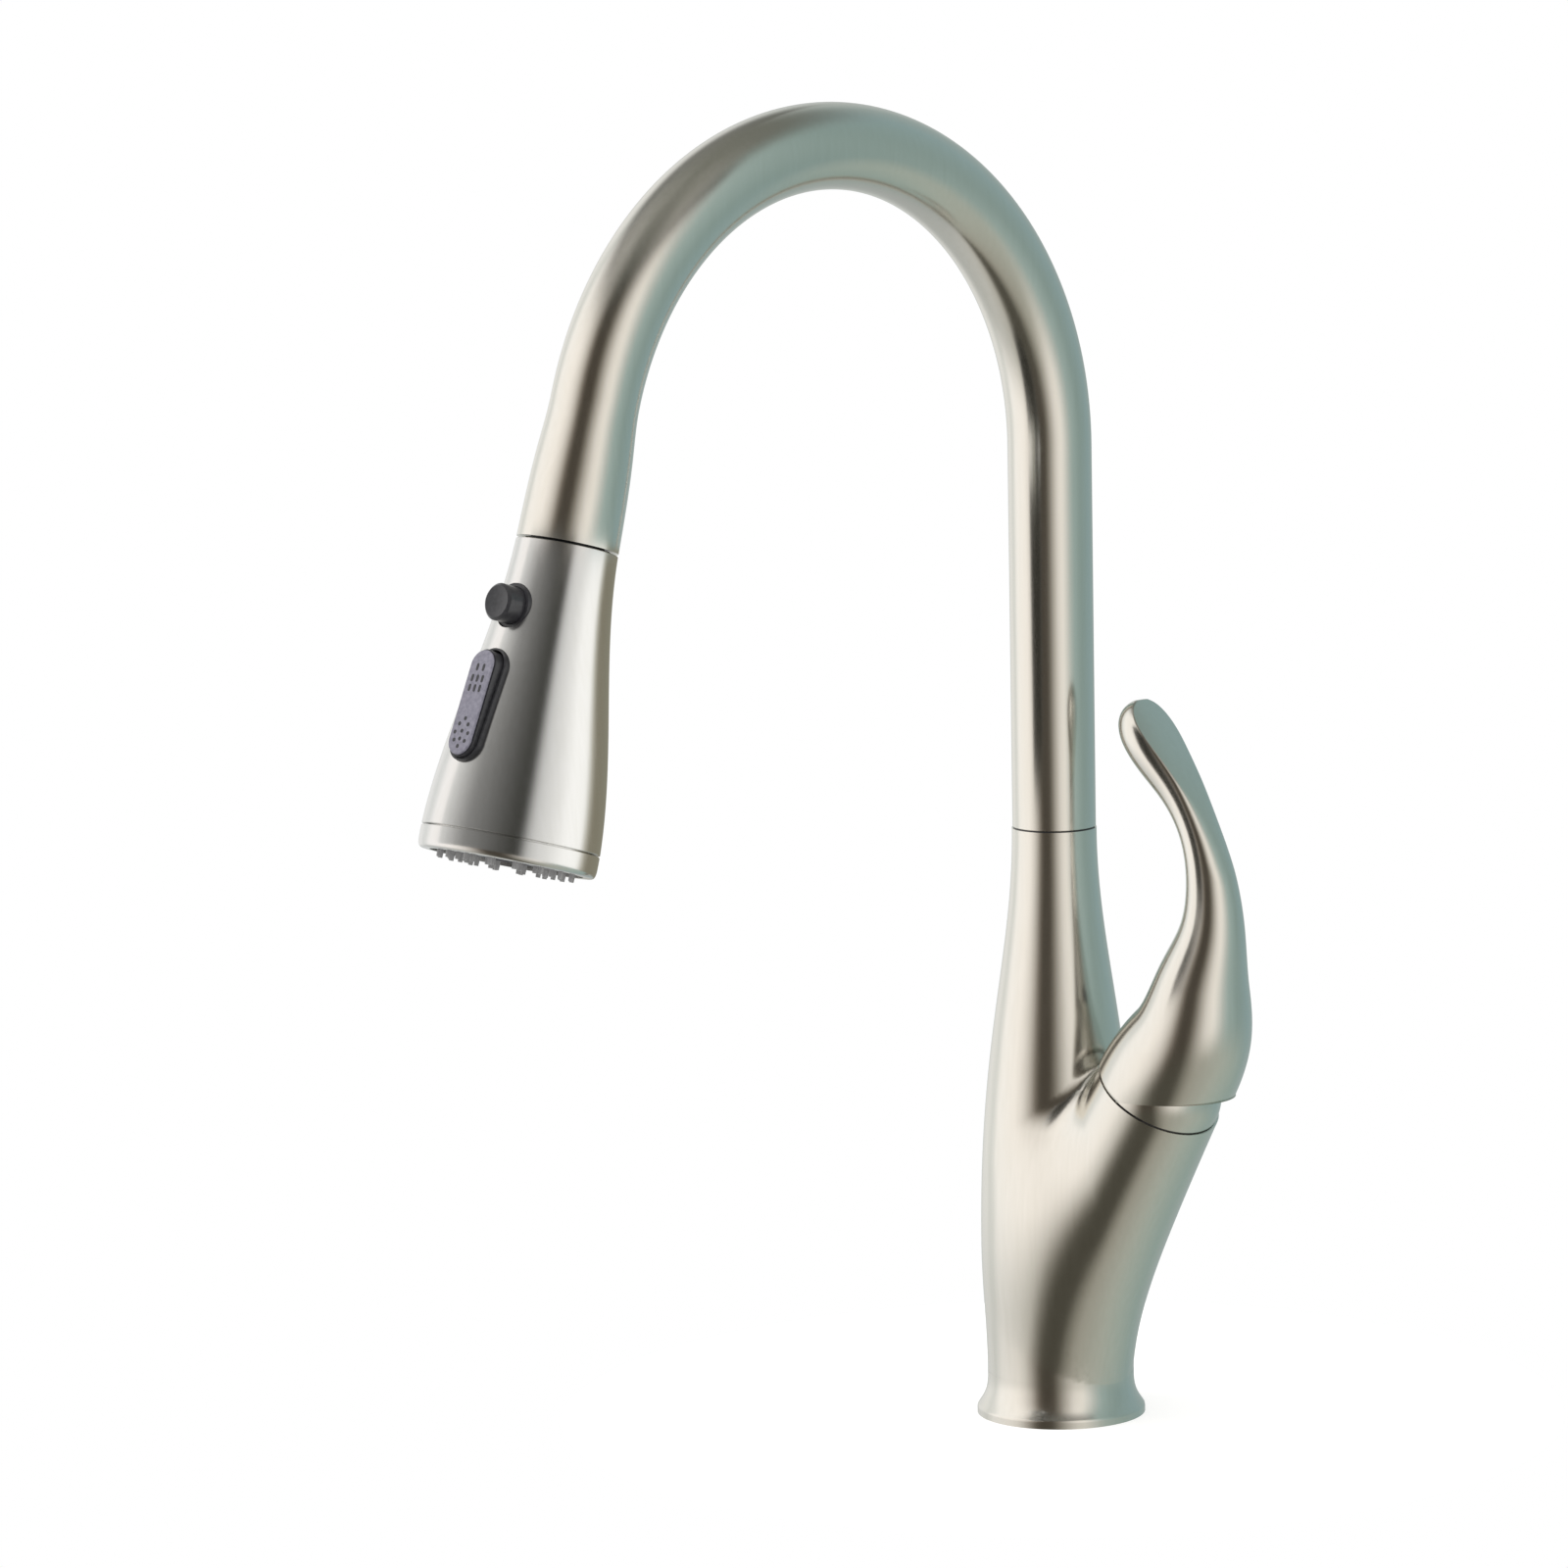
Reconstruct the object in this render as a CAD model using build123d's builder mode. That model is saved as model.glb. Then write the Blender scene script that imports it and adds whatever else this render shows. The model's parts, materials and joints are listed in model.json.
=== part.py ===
from build123d import *
from math import cos, radians, sin, sqrt
import os

# Single-lever kitchen faucet with a high arched spout and a spray head that
# pulls down out of its dock. Millimetres. The origin is the centre of the base
# on the worktop, +Z is up, the spout reaches towards -Y and the lever branch
# leans towards +X.

# Clearances
running_gap = 0.05
slip_gap = 0.1
seam_gap = 0.35
free_gap = 0.3
# How far cutters run past the face they open
overrun = 1.0

# Column and base flange
base_r = 26.0
base_edge = 2.2
flare_in = 2.4
flare_up = 3.2
neck_r = 22.6
neck_z = 12.5
neck_pull = 16.0
belly_r = 24.1
belly_z = 54.0
belly_pull = 65.0
column_top = 183.2
column_top_r = 13.0
shoulder_pull = 40.0

# Lever branch: its axis leans from the upright and its mouth carries the lever
branch_tilt = 32.0
branch_x = 42.8
branch_z = 105.2
branch_r = 19.6
branch_foot_x = 1.1
branch_foot_z = 9.0
branch_foot_r = 21.3
branch_hip_r = 22.0
branch_mid_r = 21.8
branch_arm_r = 20.8
branch_foot_pull = 31.0
branch_mouth_pull = 49.0
crotch_fillet = 5.5

# Underside: gasket, shank socket, ports and hose passage
gasket_in_r = 20.6
gasket_out_r = 24.6
gasket_depth = 2.0
socket_r = 16.0
socket_depth = 12.0
port_r = 4.55
port_depth = 12.0
inlet_x = 3.0
inlet_y = 10.2
outlet_x = 9.5
channel_r = 2.6
channel_start = 2.0
passage_x = -6.5
passage_r = 8.3
passage_top = 72.0
column_bore_r = 11.0
column_bore_low = 46.0
core_low = 114.0
core_high = 148.0
core_low_r = 16.4
core_high_r = 12.2
core_ramp = 6.0
core_step = 1.0

# Cartridge in the branch, measured along the branch axis from the lever pivot
pocket_floor = -27.0
pocket_r = 14.3
thread_low = -8.0
thread_r = 17.0
cartridge_r = 14.0
base_plate = 4.0
seal_height = 1.1
seal_in_r = 2.8
seal_out_r = 3.7
disc_r = 11.0
chamber_r = 11.3
fixed_disc_height = 3.2
moving_disc_r = 8.4
moving_disc_height = 2.8
mixing_half_x = 4.6
mixing_half_y = 5.9
mixing_depth = 1.4
carrier_plate = 4.0
carrier_edge = 0.4
chamber_top = -10.2
neck_out_r = 12.0
neck_top = 4.5
turret_r = 9.6
turret_top = 6.5
turret_flange_r = 11.1
turret_cup_r = 7.6
turret_cup_top = -3.6
boss_r = 4.6
boss_top = -4.6
lever_ball_r = 2.7
lever_ball_s = -6.0
ball_socket_r = 3.0
inlet_port_x = -2.5
inlet_port_y = 5.5
outlet_port_x = 4.5
cartridge_port_r = 2.4

# Cartridge nut and domed bonnet
nut_collar_r = 15.5
nut_top = 5.5
nut_slot = 3.0
nut_slot_depth = 2.0
nut_step = -2.0
bonnet_ring_height = 0.4
bonnet_ring_r = 18.7
bonnet_r = 19.0
bonnet_wall = 1.7
bonnet_hole_r = 13.0
bonnet_skirt_r = 15.65

# Lever: stem, hood, horn and paddle
flow_angle = 26.0
temperature_angle = 45.0
stem_side = 7.0
stem_top = 31.0
stem_neck_r = 2.2
stem_edge = 0.6
stem_low = -2.5
pin_r = 1.5
pin_length = 18.4
hood_inner_r = 19.35
hood_edge = 0.5
hood_r = 20.5
hood_waist_r = 20.3
hood_waist = 10.0
hood_shift = 0.6
screw_s = 25.0
screw_r = 2.5
screw_length = 9.0
screw_hex_r = 1.4
screw_hex_depth = 3.0
plug_r = 3.2
plug_depth = 2.6
plug_inset = 3.2
plug_edge = 0.5
paddle_half = 15.0
# Horn's centre line as reach and height from the pivot, with its radius
horn_curve = (
    (14.1, 20.6, 18.0),
    (19.0, 37.2, 13.7),
    (22.4, 52.7, 10.0),
    (22.2, 67.5, 7.7),
    (18.0, 81.8, 6.4),
    (9.6, 95.8, 7.1),
    (3.0, 103.6, 8.3),
    (-2.3, 110.1, 8.7),
    (-6.4, 115.2, 7.3),
    (-8.5, 117.8, 4.8),
)
# Thumb rest's line in the same measure, and how far its cutter reaches out
thumb_curve = ((26.5, 79.0), (21.9, 85.9), (17.3, 92.9), (8.3, 104.7), (-5.6, 120.8))
thumb_reach = 28.0

# Spout tube
tube_r = 12.8
tube_wall = 1.3
arc_start = 300.7
arc_r = 95.4
arc_sweep = 163.5
end_length = 42.0
end_r = 14.8
end_mid = 28.0
end_mid_r = 13.7
end_bore_r = 12.4

# Spout bearing in the column
insert_low = 150.0
insert_r = 10.2
insert_bore_r = 7.6
insert_plug = 18.0
insert_clear = 2.0
glide_width = 5.0
glide_groove = 0.4
glide_lows = (154.0, 173.0)
clip_low = 165.0
clip_height = 2.0
clip_in_r = 9.7
clip_out_r = 11.9
clip_slit = 3.0
thrust_height = 0.4
thrust_inset = 0.3

# Hose inside the spout
hose_r = 6.5
hose_bore_r = 4.0
hose_foot = 12.8
bend_low = 30.0
bend_high = 78.0

# Dock in the spout's end, measured from the dock seam along the head's axis
sleeve_top = -29.9
sleeve_end = -0.9
sleeve_r = 12.3
sleeve_bore_r = 10.85
magnet_top = -26.0
magnet_end = -20.4
magnet_r = 11.4
magnet_bore_r = 8.0
sleeve_lead = 0.5
sleeve_lead_depth = 0.8

# Hose end and its nut
ferrule_top = -31.0
ferrule_floor = -19.0
ferrule_end = -17.9
ferrule_r = 7.3
ferrule_bore_r = 2.9
ferrule_barb_top = -30.0
stub_r = 4.2
stub_flange_r = 4.9
stub_flange = -15.4
stub_end = -13.95
nut_across = 15.6
hose_nut_end = -7.5
hose_nut_low = -17.5
nipple_r = 5.0
nipple_top = -13.0
washer_height = 0.9

# Spray head
collar_r = 10.5
collar_bore_r = 9.3
collar_top = -17.9
dock_ring_height = 1.6
head_top_r = 14.8
head_top = 0.3
head_low = 85.2
head_low_r = 25.8
head_pull_top = 30.0
head_pull_top_r = 15.7
head_pull_low = 56.0
head_pull_low_r = 24.8
head_wall = 1.9
core_neck_r = 12.3
core_waist_r = 12.0
core_bell_top = 68.0
core_bell = 79.5
core_bell_r = 22.4
core_bell_wall = 1.4
core_bell_floor = 80.5
core_waist_t = 32.4
collar_floor = -0.5
chamber_high = 34.0
chamber_low = 79.0
inlet_bore_r = 3.6
valve_bore_r = 1.2
valve_nose_r = 2.4
valve_top = -12.0
valve_shoulder = -3.0
valve_end = -1.0
spool_r = 3.4
spool_top = 38.0
spool_end = 60.0
spool_waist = 1.6
spool_waist_r = 1.4
rim_r = 25.8
rim_low = 92.0
rim_low_r = 24.4
rim_sleeve_top = 82.0
rim_sleeve_r = 23.4
rim_bore_r = 22.6
rim_lip_r = 22.2
rim_roll = 3.4
rim_roll_pull = 2.2
rim_roll_in = 0.3
plate_top = 88.6
plate_low = 90.8
pad_top = 86.6
nozzle_tip = 93.8
nozzle_r = 0.95
nozzle_tip_r = 0.7
nozzle_hole_r = 1.15
nozzle_outer_r = 19.4
nozzle_middle_r = 16.2
nozzle_inner_r = 12.4
nozzle_outer_count = 16
nozzle_middle_count = 16
nozzle_inner_count = 8
aerator_r = 8.6
aerator_wall = 1.4
aerator_top = 83.0
aerator_low = 91.4
aerator_boss_r = 10.2
aerator_edge = 0.4
screen_recess = 0.8
screen_depth = 1.2
screen_slit = 0.7
screen_radii = (1.6, 3.6, 5.6)

# Pause button on the front of the head
button_t = 20.4
button_r = 5.4
button_face = 22.7
button_low = 14.0
button_flange_r = 5.8
button_flange = 1.0
button_stem_r = 2.0
button_stem_low = 5.0
button_travel = 2.5
button_dish_r = 24.0
button_dish = 0.5
button_edge = 0.8
button_sleeve_r = 6.5
button_sleeve_low = 10.5
button_sleeve_face = 16.4
button_pocket_r = 5.5
button_pocket = 9.0
spring_r = 3.7
spring_wire_r = 0.35
spring_turns = 3.5

# Mode rocker below the button, in the plane of the head's sloping front
rocker_t = 50.0
rocker_surface = 21.9
rocker_slope = 10.4
rocker_length = 31.8
rocker_width = 9.8
rocker_height = 3.15
rocker_cap = 0.9
rocker_lean = 3.06
rocker_pin_w = -4.2
rocker_low = -2.6
rocker_pin_r = 1.0
rocker_lug_r = 2.0
rocker_lug = 2.8
rocker_lug_inset = 0.4
rocker_face_inset = 0.4
rocker_face_edge = 0.4
pin_inset = 0.3
frame_length = 34.0
frame_width = 12.0
frame_bore_length = 32.8
frame_bore_width = 10.5
frame_face = 0.3
frame_low = -6.4
frame_floor = 1.2
frame_window = 8.0
leg_tip = 2.4
leg_r = 1.0
leg_gap = 0.5

os.makedirs("parts", exist_ok=True)

# Frames of the leaning branch: n runs out along its axis, the section plane
# has the outward radius as x and the axis as y
branch_dir = Vector(sin(radians(branch_tilt)), 0, cos(radians(branch_tilt)))
branch_out = Vector(cos(radians(branch_tilt)), 0, -sin(radians(branch_tilt)))
pivot = Vector(branch_x, 0, branch_z)
branch_section = Plane(origin=pivot, x_dir=branch_out, z_dir=(0, -1, 0))
branch_axis = Axis(pivot, branch_dir)

# Frames of the head: down runs out of the spout, front faces the user
arc_centre = Vector(0, -arc_r, arc_start)
down = Vector(0, -cos(radians(arc_sweep - 90)), -sin(radians(arc_sweep - 90)))
front = Vector(0, down.Z, -down.Y)
arc_end = arc_centre + Vector(0, arc_r * cos(radians(arc_sweep)), arc_r * sin(radians(arc_sweep)))
dock = arc_end + down * end_length
head_section = Plane(origin=dock, x_dir=(1, 0, 0), z_dir=front * -1)
head_axis = Axis(dock, down)

# Frame of the rocker: x across the head, y up along its front, z outward
slope_cos = cos(radians(rocker_slope))
slope_sin = sin(radians(rocker_slope))
rocker_out = front * slope_cos - down * slope_sin
rocker_origin = dock + down * rocker_t + front * rocker_surface
rocker_plane = Plane(origin=rocker_origin, x_dir=(1, 0, 0), z_dir=rocker_out)
pin_centre = rocker_origin + rocker_out * rocker_pin_w
leg_t = (pin_centre - dock).dot(down)


def branch_plane(height):
    """Plane square to the branch axis, at a height from the lever pivot."""
    return Plane(origin=pivot + branch_dir * height, x_dir=branch_out, z_dir=branch_dir)


def head_plane(depth):
    """Plane square to the head's axis, at a depth below the dock seam."""
    return Plane(origin=dock + down * depth, x_dir=(1, 0, 0), z_dir=down)


def button_plane(reach):
    """Plane square to the button's axis, at a reach from the head's axis."""
    origin = dock + down * button_t + front * reach
    return Plane(origin=origin, x_dir=(1, 0, 0), z_dir=front)


def outline(section, points):
    """Closed face with straight sides, given as radius and height."""
    with BuildSketch(section) as face:
        with BuildLine():
            Polyline(*points, close=True)
        make_face()
    return face.sketch


def band(section, inner, outer, low, high):
    """Half section of a plain ring."""
    return outline(section, [(inner, low), (outer, low), (outer, high), (inner, high)])


def save(piece, name):
    """Names a finished piece and writes it to its own file."""
    piece.part.label = name
    export_step(piece.part, "parts/" + name + ".step")


# Body: base flange, column and lever branch in one casting
def column_face():
    with BuildSketch(Plane.XZ) as face:
        with BuildLine():
            Line((0, 0), (-base_r, 0))
            Line((-base_r, 0), (-base_r, base_edge))
            Bezier(
                (-base_r, base_edge),
                (flare_in - base_r, base_edge + flare_up),
                (-neck_r, (neck_z + base_edge) / 2),
                (-neck_r, neck_z),
            )
            Bezier(
                (-neck_r, neck_z),
                (-neck_r, neck_z + neck_pull),
                (-belly_r, belly_z - neck_pull),
                (-belly_r, belly_z),
            )
            Bezier(
                (-belly_r, belly_z),
                (-belly_r, belly_z + belly_pull),
                (-column_top_r, column_top - shoulder_pull),
                (-column_top_r, column_top),
            )
            Line((-column_top_r, column_top), (0, column_top))
            Line((0, column_top), (0, 0))
        make_face()
    return face.sketch


def branch_solid():
    foot = Vector(branch_foot_x, 0, branch_foot_z)
    spine = Bezier(
        foot,
        foot + Vector(0, 0, branch_foot_pull),
        pivot - branch_dir * branch_mouth_pull,
        pivot,
    )
    radii = (branch_foot_r, branch_hip_r, branch_mid_r, branch_arm_r, branch_r)
    with BuildPart() as branch:
        for step, radius in enumerate(radii):
            share = step / (len(radii) - 1)
            along = spine.tangent_at(share)
            across = Vector(0, 1, 0).cross(along)
            with BuildSketch(Plane(origin=spine.position_at(share), x_dir=across, z_dir=along)):
                Circle(radius)
        loft()
    return branch.part


def drill(start, end, radius, mode=Mode.SUBTRACT):
    """Round channel from one point to another."""
    way = Vector(*end) - Vector(*start)
    with BuildSketch(Plane(origin=start, z_dir=way)) as hole:
        Circle(radius)
    extrude(hole.sketch, amount=way.length, mode=mode)


def pocket_point(x, y):
    """Point on the floor of the cartridge pocket."""
    return pivot + branch_dir * (pocket_floor + overrun) + branch_out * x + Vector(0, y, 0)


with BuildPart() as faucet_body:
    revolve(column_face(), axis=Axis.Z)
    add(branch_solid())
    # The longest curve is where the branch leaves the column
    crotch = faucet_body.edges().filter_by(GeomType.BSPLINE).sort_by(SortBy.LENGTH)[-1]
    fillet(crotch, crotch_fillet)
    # Cartridge pocket with the nut's thread above it
    pocket = outline(
        branch_section,
        [
            (0, pocket_floor),
            (pocket_r, pocket_floor),
            (pocket_r, thread_low),
            (thread_r, thread_low),
            (thread_r, overrun),
            (0, overrun),
        ],
    )
    revolve(pocket, axis=branch_axis, mode=Mode.SUBTRACT)
    # Spout bore with the groove of the retaining clip and a cored relief
    bore = outline(
        Plane.XZ,
        [
            (0, column_bore_low),
            (column_bore_r, column_bore_low),
            (column_bore_r, core_low - core_ramp),
            (core_low_r, core_low),
            (core_high_r, core_high),
            (column_bore_r, core_high + core_step),
            (column_bore_r, clip_low - slip_gap),
            (clip_out_r + 2 * slip_gap, clip_low - slip_gap),
            (clip_out_r + 2 * slip_gap, clip_low + clip_height + slip_gap),
            (column_bore_r, clip_low + clip_height + slip_gap),
            (column_bore_r, column_top + overrun),
            (0, column_top + overrun),
        ],
    )
    revolve(bore, axis=Axis.Z, mode=Mode.SUBTRACT)
    # Underside
    with BuildSketch(Plane.XY):
        Circle(socket_r)
    extrude(amount=socket_depth, mode=Mode.SUBTRACT)
    with BuildSketch(Plane.XY):
        Circle(gasket_out_r)
        Circle(gasket_in_r, mode=Mode.SUBTRACT)
    extrude(amount=gasket_depth, mode=Mode.SUBTRACT)
    with BuildSketch(Plane.XY):
        with Locations((passage_x, 0)):
            Circle(passage_r)
    extrude(amount=passage_top, mode=Mode.SUBTRACT)
    with BuildSketch(Plane.XY.offset(socket_depth)):
        with Locations((inlet_x, inlet_y), (inlet_x, -inlet_y), (outlet_x, 0)):
            Circle(port_r)
    extrude(amount=port_depth, mode=Mode.SUBTRACT)
    # Waterways between the ports and the cartridge
    way_low = socket_depth + port_depth - channel_start
    for side in (1, -1):
        drill(
            (inlet_x, side * inlet_y, way_low),
            pocket_point(inlet_port_x, side * inlet_port_y),
            channel_r,
        )
    drill((outlet_x, 0, way_low), pocket_point(outlet_port_x, 0), channel_r)
save(faucet_body, "faucet_body")

with BuildPart() as base_gasket:
    ring = band(Plane.XZ, gasket_in_r + slip_gap, gasket_out_r - slip_gap, 0, gasket_depth)
    revolve(ring, axis=Axis.Z)
save(base_gasket, "base_gasket")

# Cartridge: base plate, seals, ceramic discs, housing, turret and lever
plate_top_s = pocket_floor + slip_gap + base_plate
port_spots = [
    (inlet_port_x, inlet_port_y),
    (inlet_port_x, -inlet_port_y),
    (outlet_port_x, 0),
]

with BuildPart() as cartridge_base:
    with BuildSketch(branch_plane(pocket_floor + slip_gap)):
        Circle(cartridge_r)
    extrude(amount=base_plate)
    with BuildSketch(branch_plane(pocket_floor)):
        with Locations(*port_spots):
            Circle(seal_out_r + slip_gap)
    extrude(amount=seal_height, mode=Mode.SUBTRACT)
    with BuildSketch(branch_plane(pocket_floor)):
        with Locations(*port_spots):
            Circle(cartridge_port_r)
    extrude(amount=2 * base_plate, mode=Mode.SUBTRACT)
save(cartridge_base, "cartridge_base")

with BuildPart() as port_seals:
    with BuildSketch(branch_plane(pocket_floor)):
        with Locations(*port_spots):
            Circle(seal_out_r)
            Circle(seal_in_r, mode=Mode.SUBTRACT)
    extrude(amount=seal_height)
save(port_seals, "port_seals")

fixed_top = plate_top_s + fixed_disc_height
with BuildPart() as fixed_disc:
    with BuildSketch(branch_plane(plate_top_s)):
        Circle(disc_r)
        with Locations(*port_spots):
            Circle(cartridge_port_r, mode=Mode.SUBTRACT)
    extrude(amount=fixed_disc_height)
save(fixed_disc, "fixed_disc")

moving_top = fixed_top + moving_disc_height
with BuildPart() as moving_disc:
    with BuildSketch(branch_plane(fixed_top)):
        Circle(moving_disc_r)
    extrude(amount=moving_disc_height)
    # Mixing hollow in the face that slides on the fixed disc
    with BuildSketch(branch_plane(fixed_top)):
        with Locations((outlet_port_x / 2, 0)):
            Ellipse(mixing_half_x, mixing_half_y)
    extrude(amount=mixing_depth, mode=Mode.SUBTRACT)
save(moving_disc, "moving_disc")

carrier_top = moving_top + carrier_plate
with BuildPart() as disc_carrier:
    profile = outline(
        branch_section,
        [
            (0, moving_top),
            (moving_disc_r, moving_top),
            (moving_disc_r, carrier_top - carrier_edge),
            (boss_r, carrier_top),
            (boss_r, boss_top),
            (ball_socket_r, boss_top),
            (ball_socket_r, lever_ball_s - lever_ball_r - free_gap),
            (0, lever_ball_s - lever_ball_r - free_gap),
        ],
    )
    revolve(profile, axis=branch_axis)
save(disc_carrier, "disc_carrier")

with BuildPart() as cartridge_housing:
    profile = outline(
        branch_section,
        [
            (chamber_r, plate_top_s),
            (cartridge_r, plate_top_s),
            (cartridge_r, thread_low + slip_gap),
            (neck_out_r, thread_low + slip_gap),
            (neck_out_r, neck_top),
            (turret_r + running_gap, neck_top),
            (turret_r + running_gap, chamber_top),
            (chamber_r, chamber_top),
        ],
    )
    revolve(profile, axis=branch_axis)
save(cartridge_housing, "cartridge_housing")

turret_low = carrier_top + free_gap
with BuildPart() as cartridge_turret:
    profile = outline(
        branch_section,
        [
            (0, turret_cup_top),
            (turret_cup_r, turret_cup_top),
            (turret_cup_r, turret_low),
            (turret_flange_r, turret_low),
            (turret_flange_r, chamber_top - slip_gap),
            (turret_r, chamber_top - slip_gap),
            (turret_r, turret_top),
            (0, turret_top),
        ],
    )
    revolve(profile, axis=branch_axis)
    # Slot in which the lever tilts, longer on the side it opens to
    slot_out = turret_top * sin(radians(flow_angle)) + stem_side / 2 / cos(radians(flow_angle))
    slot_out = slot_out + 2 * free_gap
    slot_in = lever_ball_r - lever_ball_s * sin(radians(flow_angle)) + free_gap
    with BuildSketch(branch_plane(turret_cup_top - overrun)):
        with Locations(((slot_out - slot_in) / 2, 0)):
            Rectangle(slot_out + slot_in, stem_side + 4 * slip_gap)
    extrude(amount=turret_top - turret_cup_top + 2 * overrun, mode=Mode.SUBTRACT)
    with BuildSketch(Plane(origin=pivot, x_dir=branch_out, z_dir=(0, 1, 0))):
        Circle(pin_r + running_gap)
    extrude(amount=turret_r + overrun, both=True, mode=Mode.SUBTRACT)
save(cartridge_turret, "cartridge_turret")

with BuildPart() as lever_pin:
    with BuildSketch(Plane(origin=pivot, x_dir=branch_out, z_dir=(0, 1, 0))):
        Circle(pin_r)
    extrude(amount=pin_length / 2, both=True)
save(lever_pin, "lever_pin")

with BuildPart() as cartridge_lever:
    with BuildSketch(branch_plane(stem_low)):
        Rectangle(stem_side, stem_side)
    extrude(amount=stem_top - stem_low)
    fillet(cartridge_lever.edges().filter_by(branch_axis), stem_edge)
    with BuildSketch(branch_plane(lever_ball_s)):
        Circle(stem_neck_r)
    extrude(amount=-lever_ball_s)
    with BuildSketch(branch_section):
        with Locations((0, lever_ball_s)):
            Circle(lever_ball_r)
            Rectangle(
                2 * lever_ball_r,
                2 * lever_ball_r,
                align=(Align.MAX, Align.CENTER),
                mode=Mode.SUBTRACT,
            )
    revolve(axis=branch_axis)
    with BuildSketch(Plane(origin=pivot, x_dir=branch_out, z_dir=(0, 1, 0))):
        Circle(pin_r + running_gap)
    extrude(amount=stem_side, both=True, mode=Mode.SUBTRACT)
save(cartridge_lever, "cartridge_lever")

with BuildPart() as cartridge_nut:
    profile = outline(
        branch_section,
        [
            (neck_out_r + 2 * slip_gap, thread_low + slip_gap),
            (thread_r - slip_gap, thread_low + slip_gap),
            (thread_r - slip_gap, nut_step),
            (nut_collar_r, nut_step),
            (nut_collar_r, nut_top),
            (neck_out_r + 2 * slip_gap, nut_top),
        ],
    )
    revolve(profile, axis=branch_axis)
    # Wrench slots in the top face
    with BuildSketch(branch_plane(nut_top - nut_slot_depth)):
        with PolarLocations(nut_collar_r, 6):
            Rectangle(2 * nut_slot, nut_slot)
    extrude(amount=nut_slot_depth + overrun, mode=Mode.SUBTRACT)
save(cartridge_nut, "cartridge_nut")

with BuildPart() as bonnet_ring:
    ring = band(branch_section, bonnet_skirt_r + slip_gap, bonnet_ring_r, 0, bonnet_ring_height)
    revolve(ring, axis=branch_axis)
save(bonnet_ring, "bonnet_ring")


def on_sphere(radius, reach):
    """Height above the pivot of a sphere's point at a reach from the axis."""
    return sqrt(radius**2 - reach**2)


with BuildPart() as bonnet:
    inner_r = bonnet_r - bonnet_wall
    foot_reach = on_sphere(bonnet_r, bonnet_ring_height)
    with BuildSketch(branch_section):
        with BuildLine():
            Line((bonnet_skirt_r, bonnet_ring_height), (foot_reach, bonnet_ring_height))
            RadiusArc(
                (foot_reach, bonnet_ring_height),
                (bonnet_hole_r, on_sphere(bonnet_r, bonnet_hole_r)),
                -bonnet_r,
            )
            Line(
                (bonnet_hole_r, on_sphere(bonnet_r, bonnet_hole_r)),
                (bonnet_hole_r, on_sphere(inner_r, bonnet_hole_r)),
            )
            RadiusArc(
                (bonnet_hole_r, on_sphere(inner_r, bonnet_hole_r)),
                (bonnet_skirt_r, on_sphere(inner_r, bonnet_skirt_r)),
                inner_r,
            )
            Line(
                (bonnet_skirt_r, on_sphere(inner_r, bonnet_skirt_r)),
                (bonnet_skirt_r, bonnet_ring_height),
            )
        make_face()
    revolve(axis=branch_axis)
save(bonnet, "bonnet")


# Lever handle: a hood over the bonnet that runs into a bent horn, whose end is
# cut flat on its outer side as a thumb rest
def horn_stations():
    """Points of the lever's centre line with its radius there."""
    hood_end = pivot + branch_dir * hood_waist + branch_out * hood_shift
    points = [(pivot, hood_r), (hood_end, hood_waist_r)]
    for reach, rise, radius in horn_curve:
        points.append((pivot + Vector(reach, 0, rise), radius))
    return points


def thumb_cutter():
    """Block whose lower edge is the flat outer side of the paddle."""
    points = [(branch_x + reach, branch_z + rise) for reach, rise in thumb_curve]
    start, end = points[0], points[-1]
    with BuildPart() as cutter:
        with BuildSketch(Plane.XZ):
            with BuildLine():
                Spline(*points)
                Polyline(
                    end,
                    (end[0] + thumb_reach / 2, end[1] + thumb_reach / 2),
                    (start[0] + thumb_reach / 2, start[1] + thumb_reach / 2),
                    start,
                )
            make_face()
        extrude(amount=paddle_half, both=True)
    return cutter.part


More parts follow.
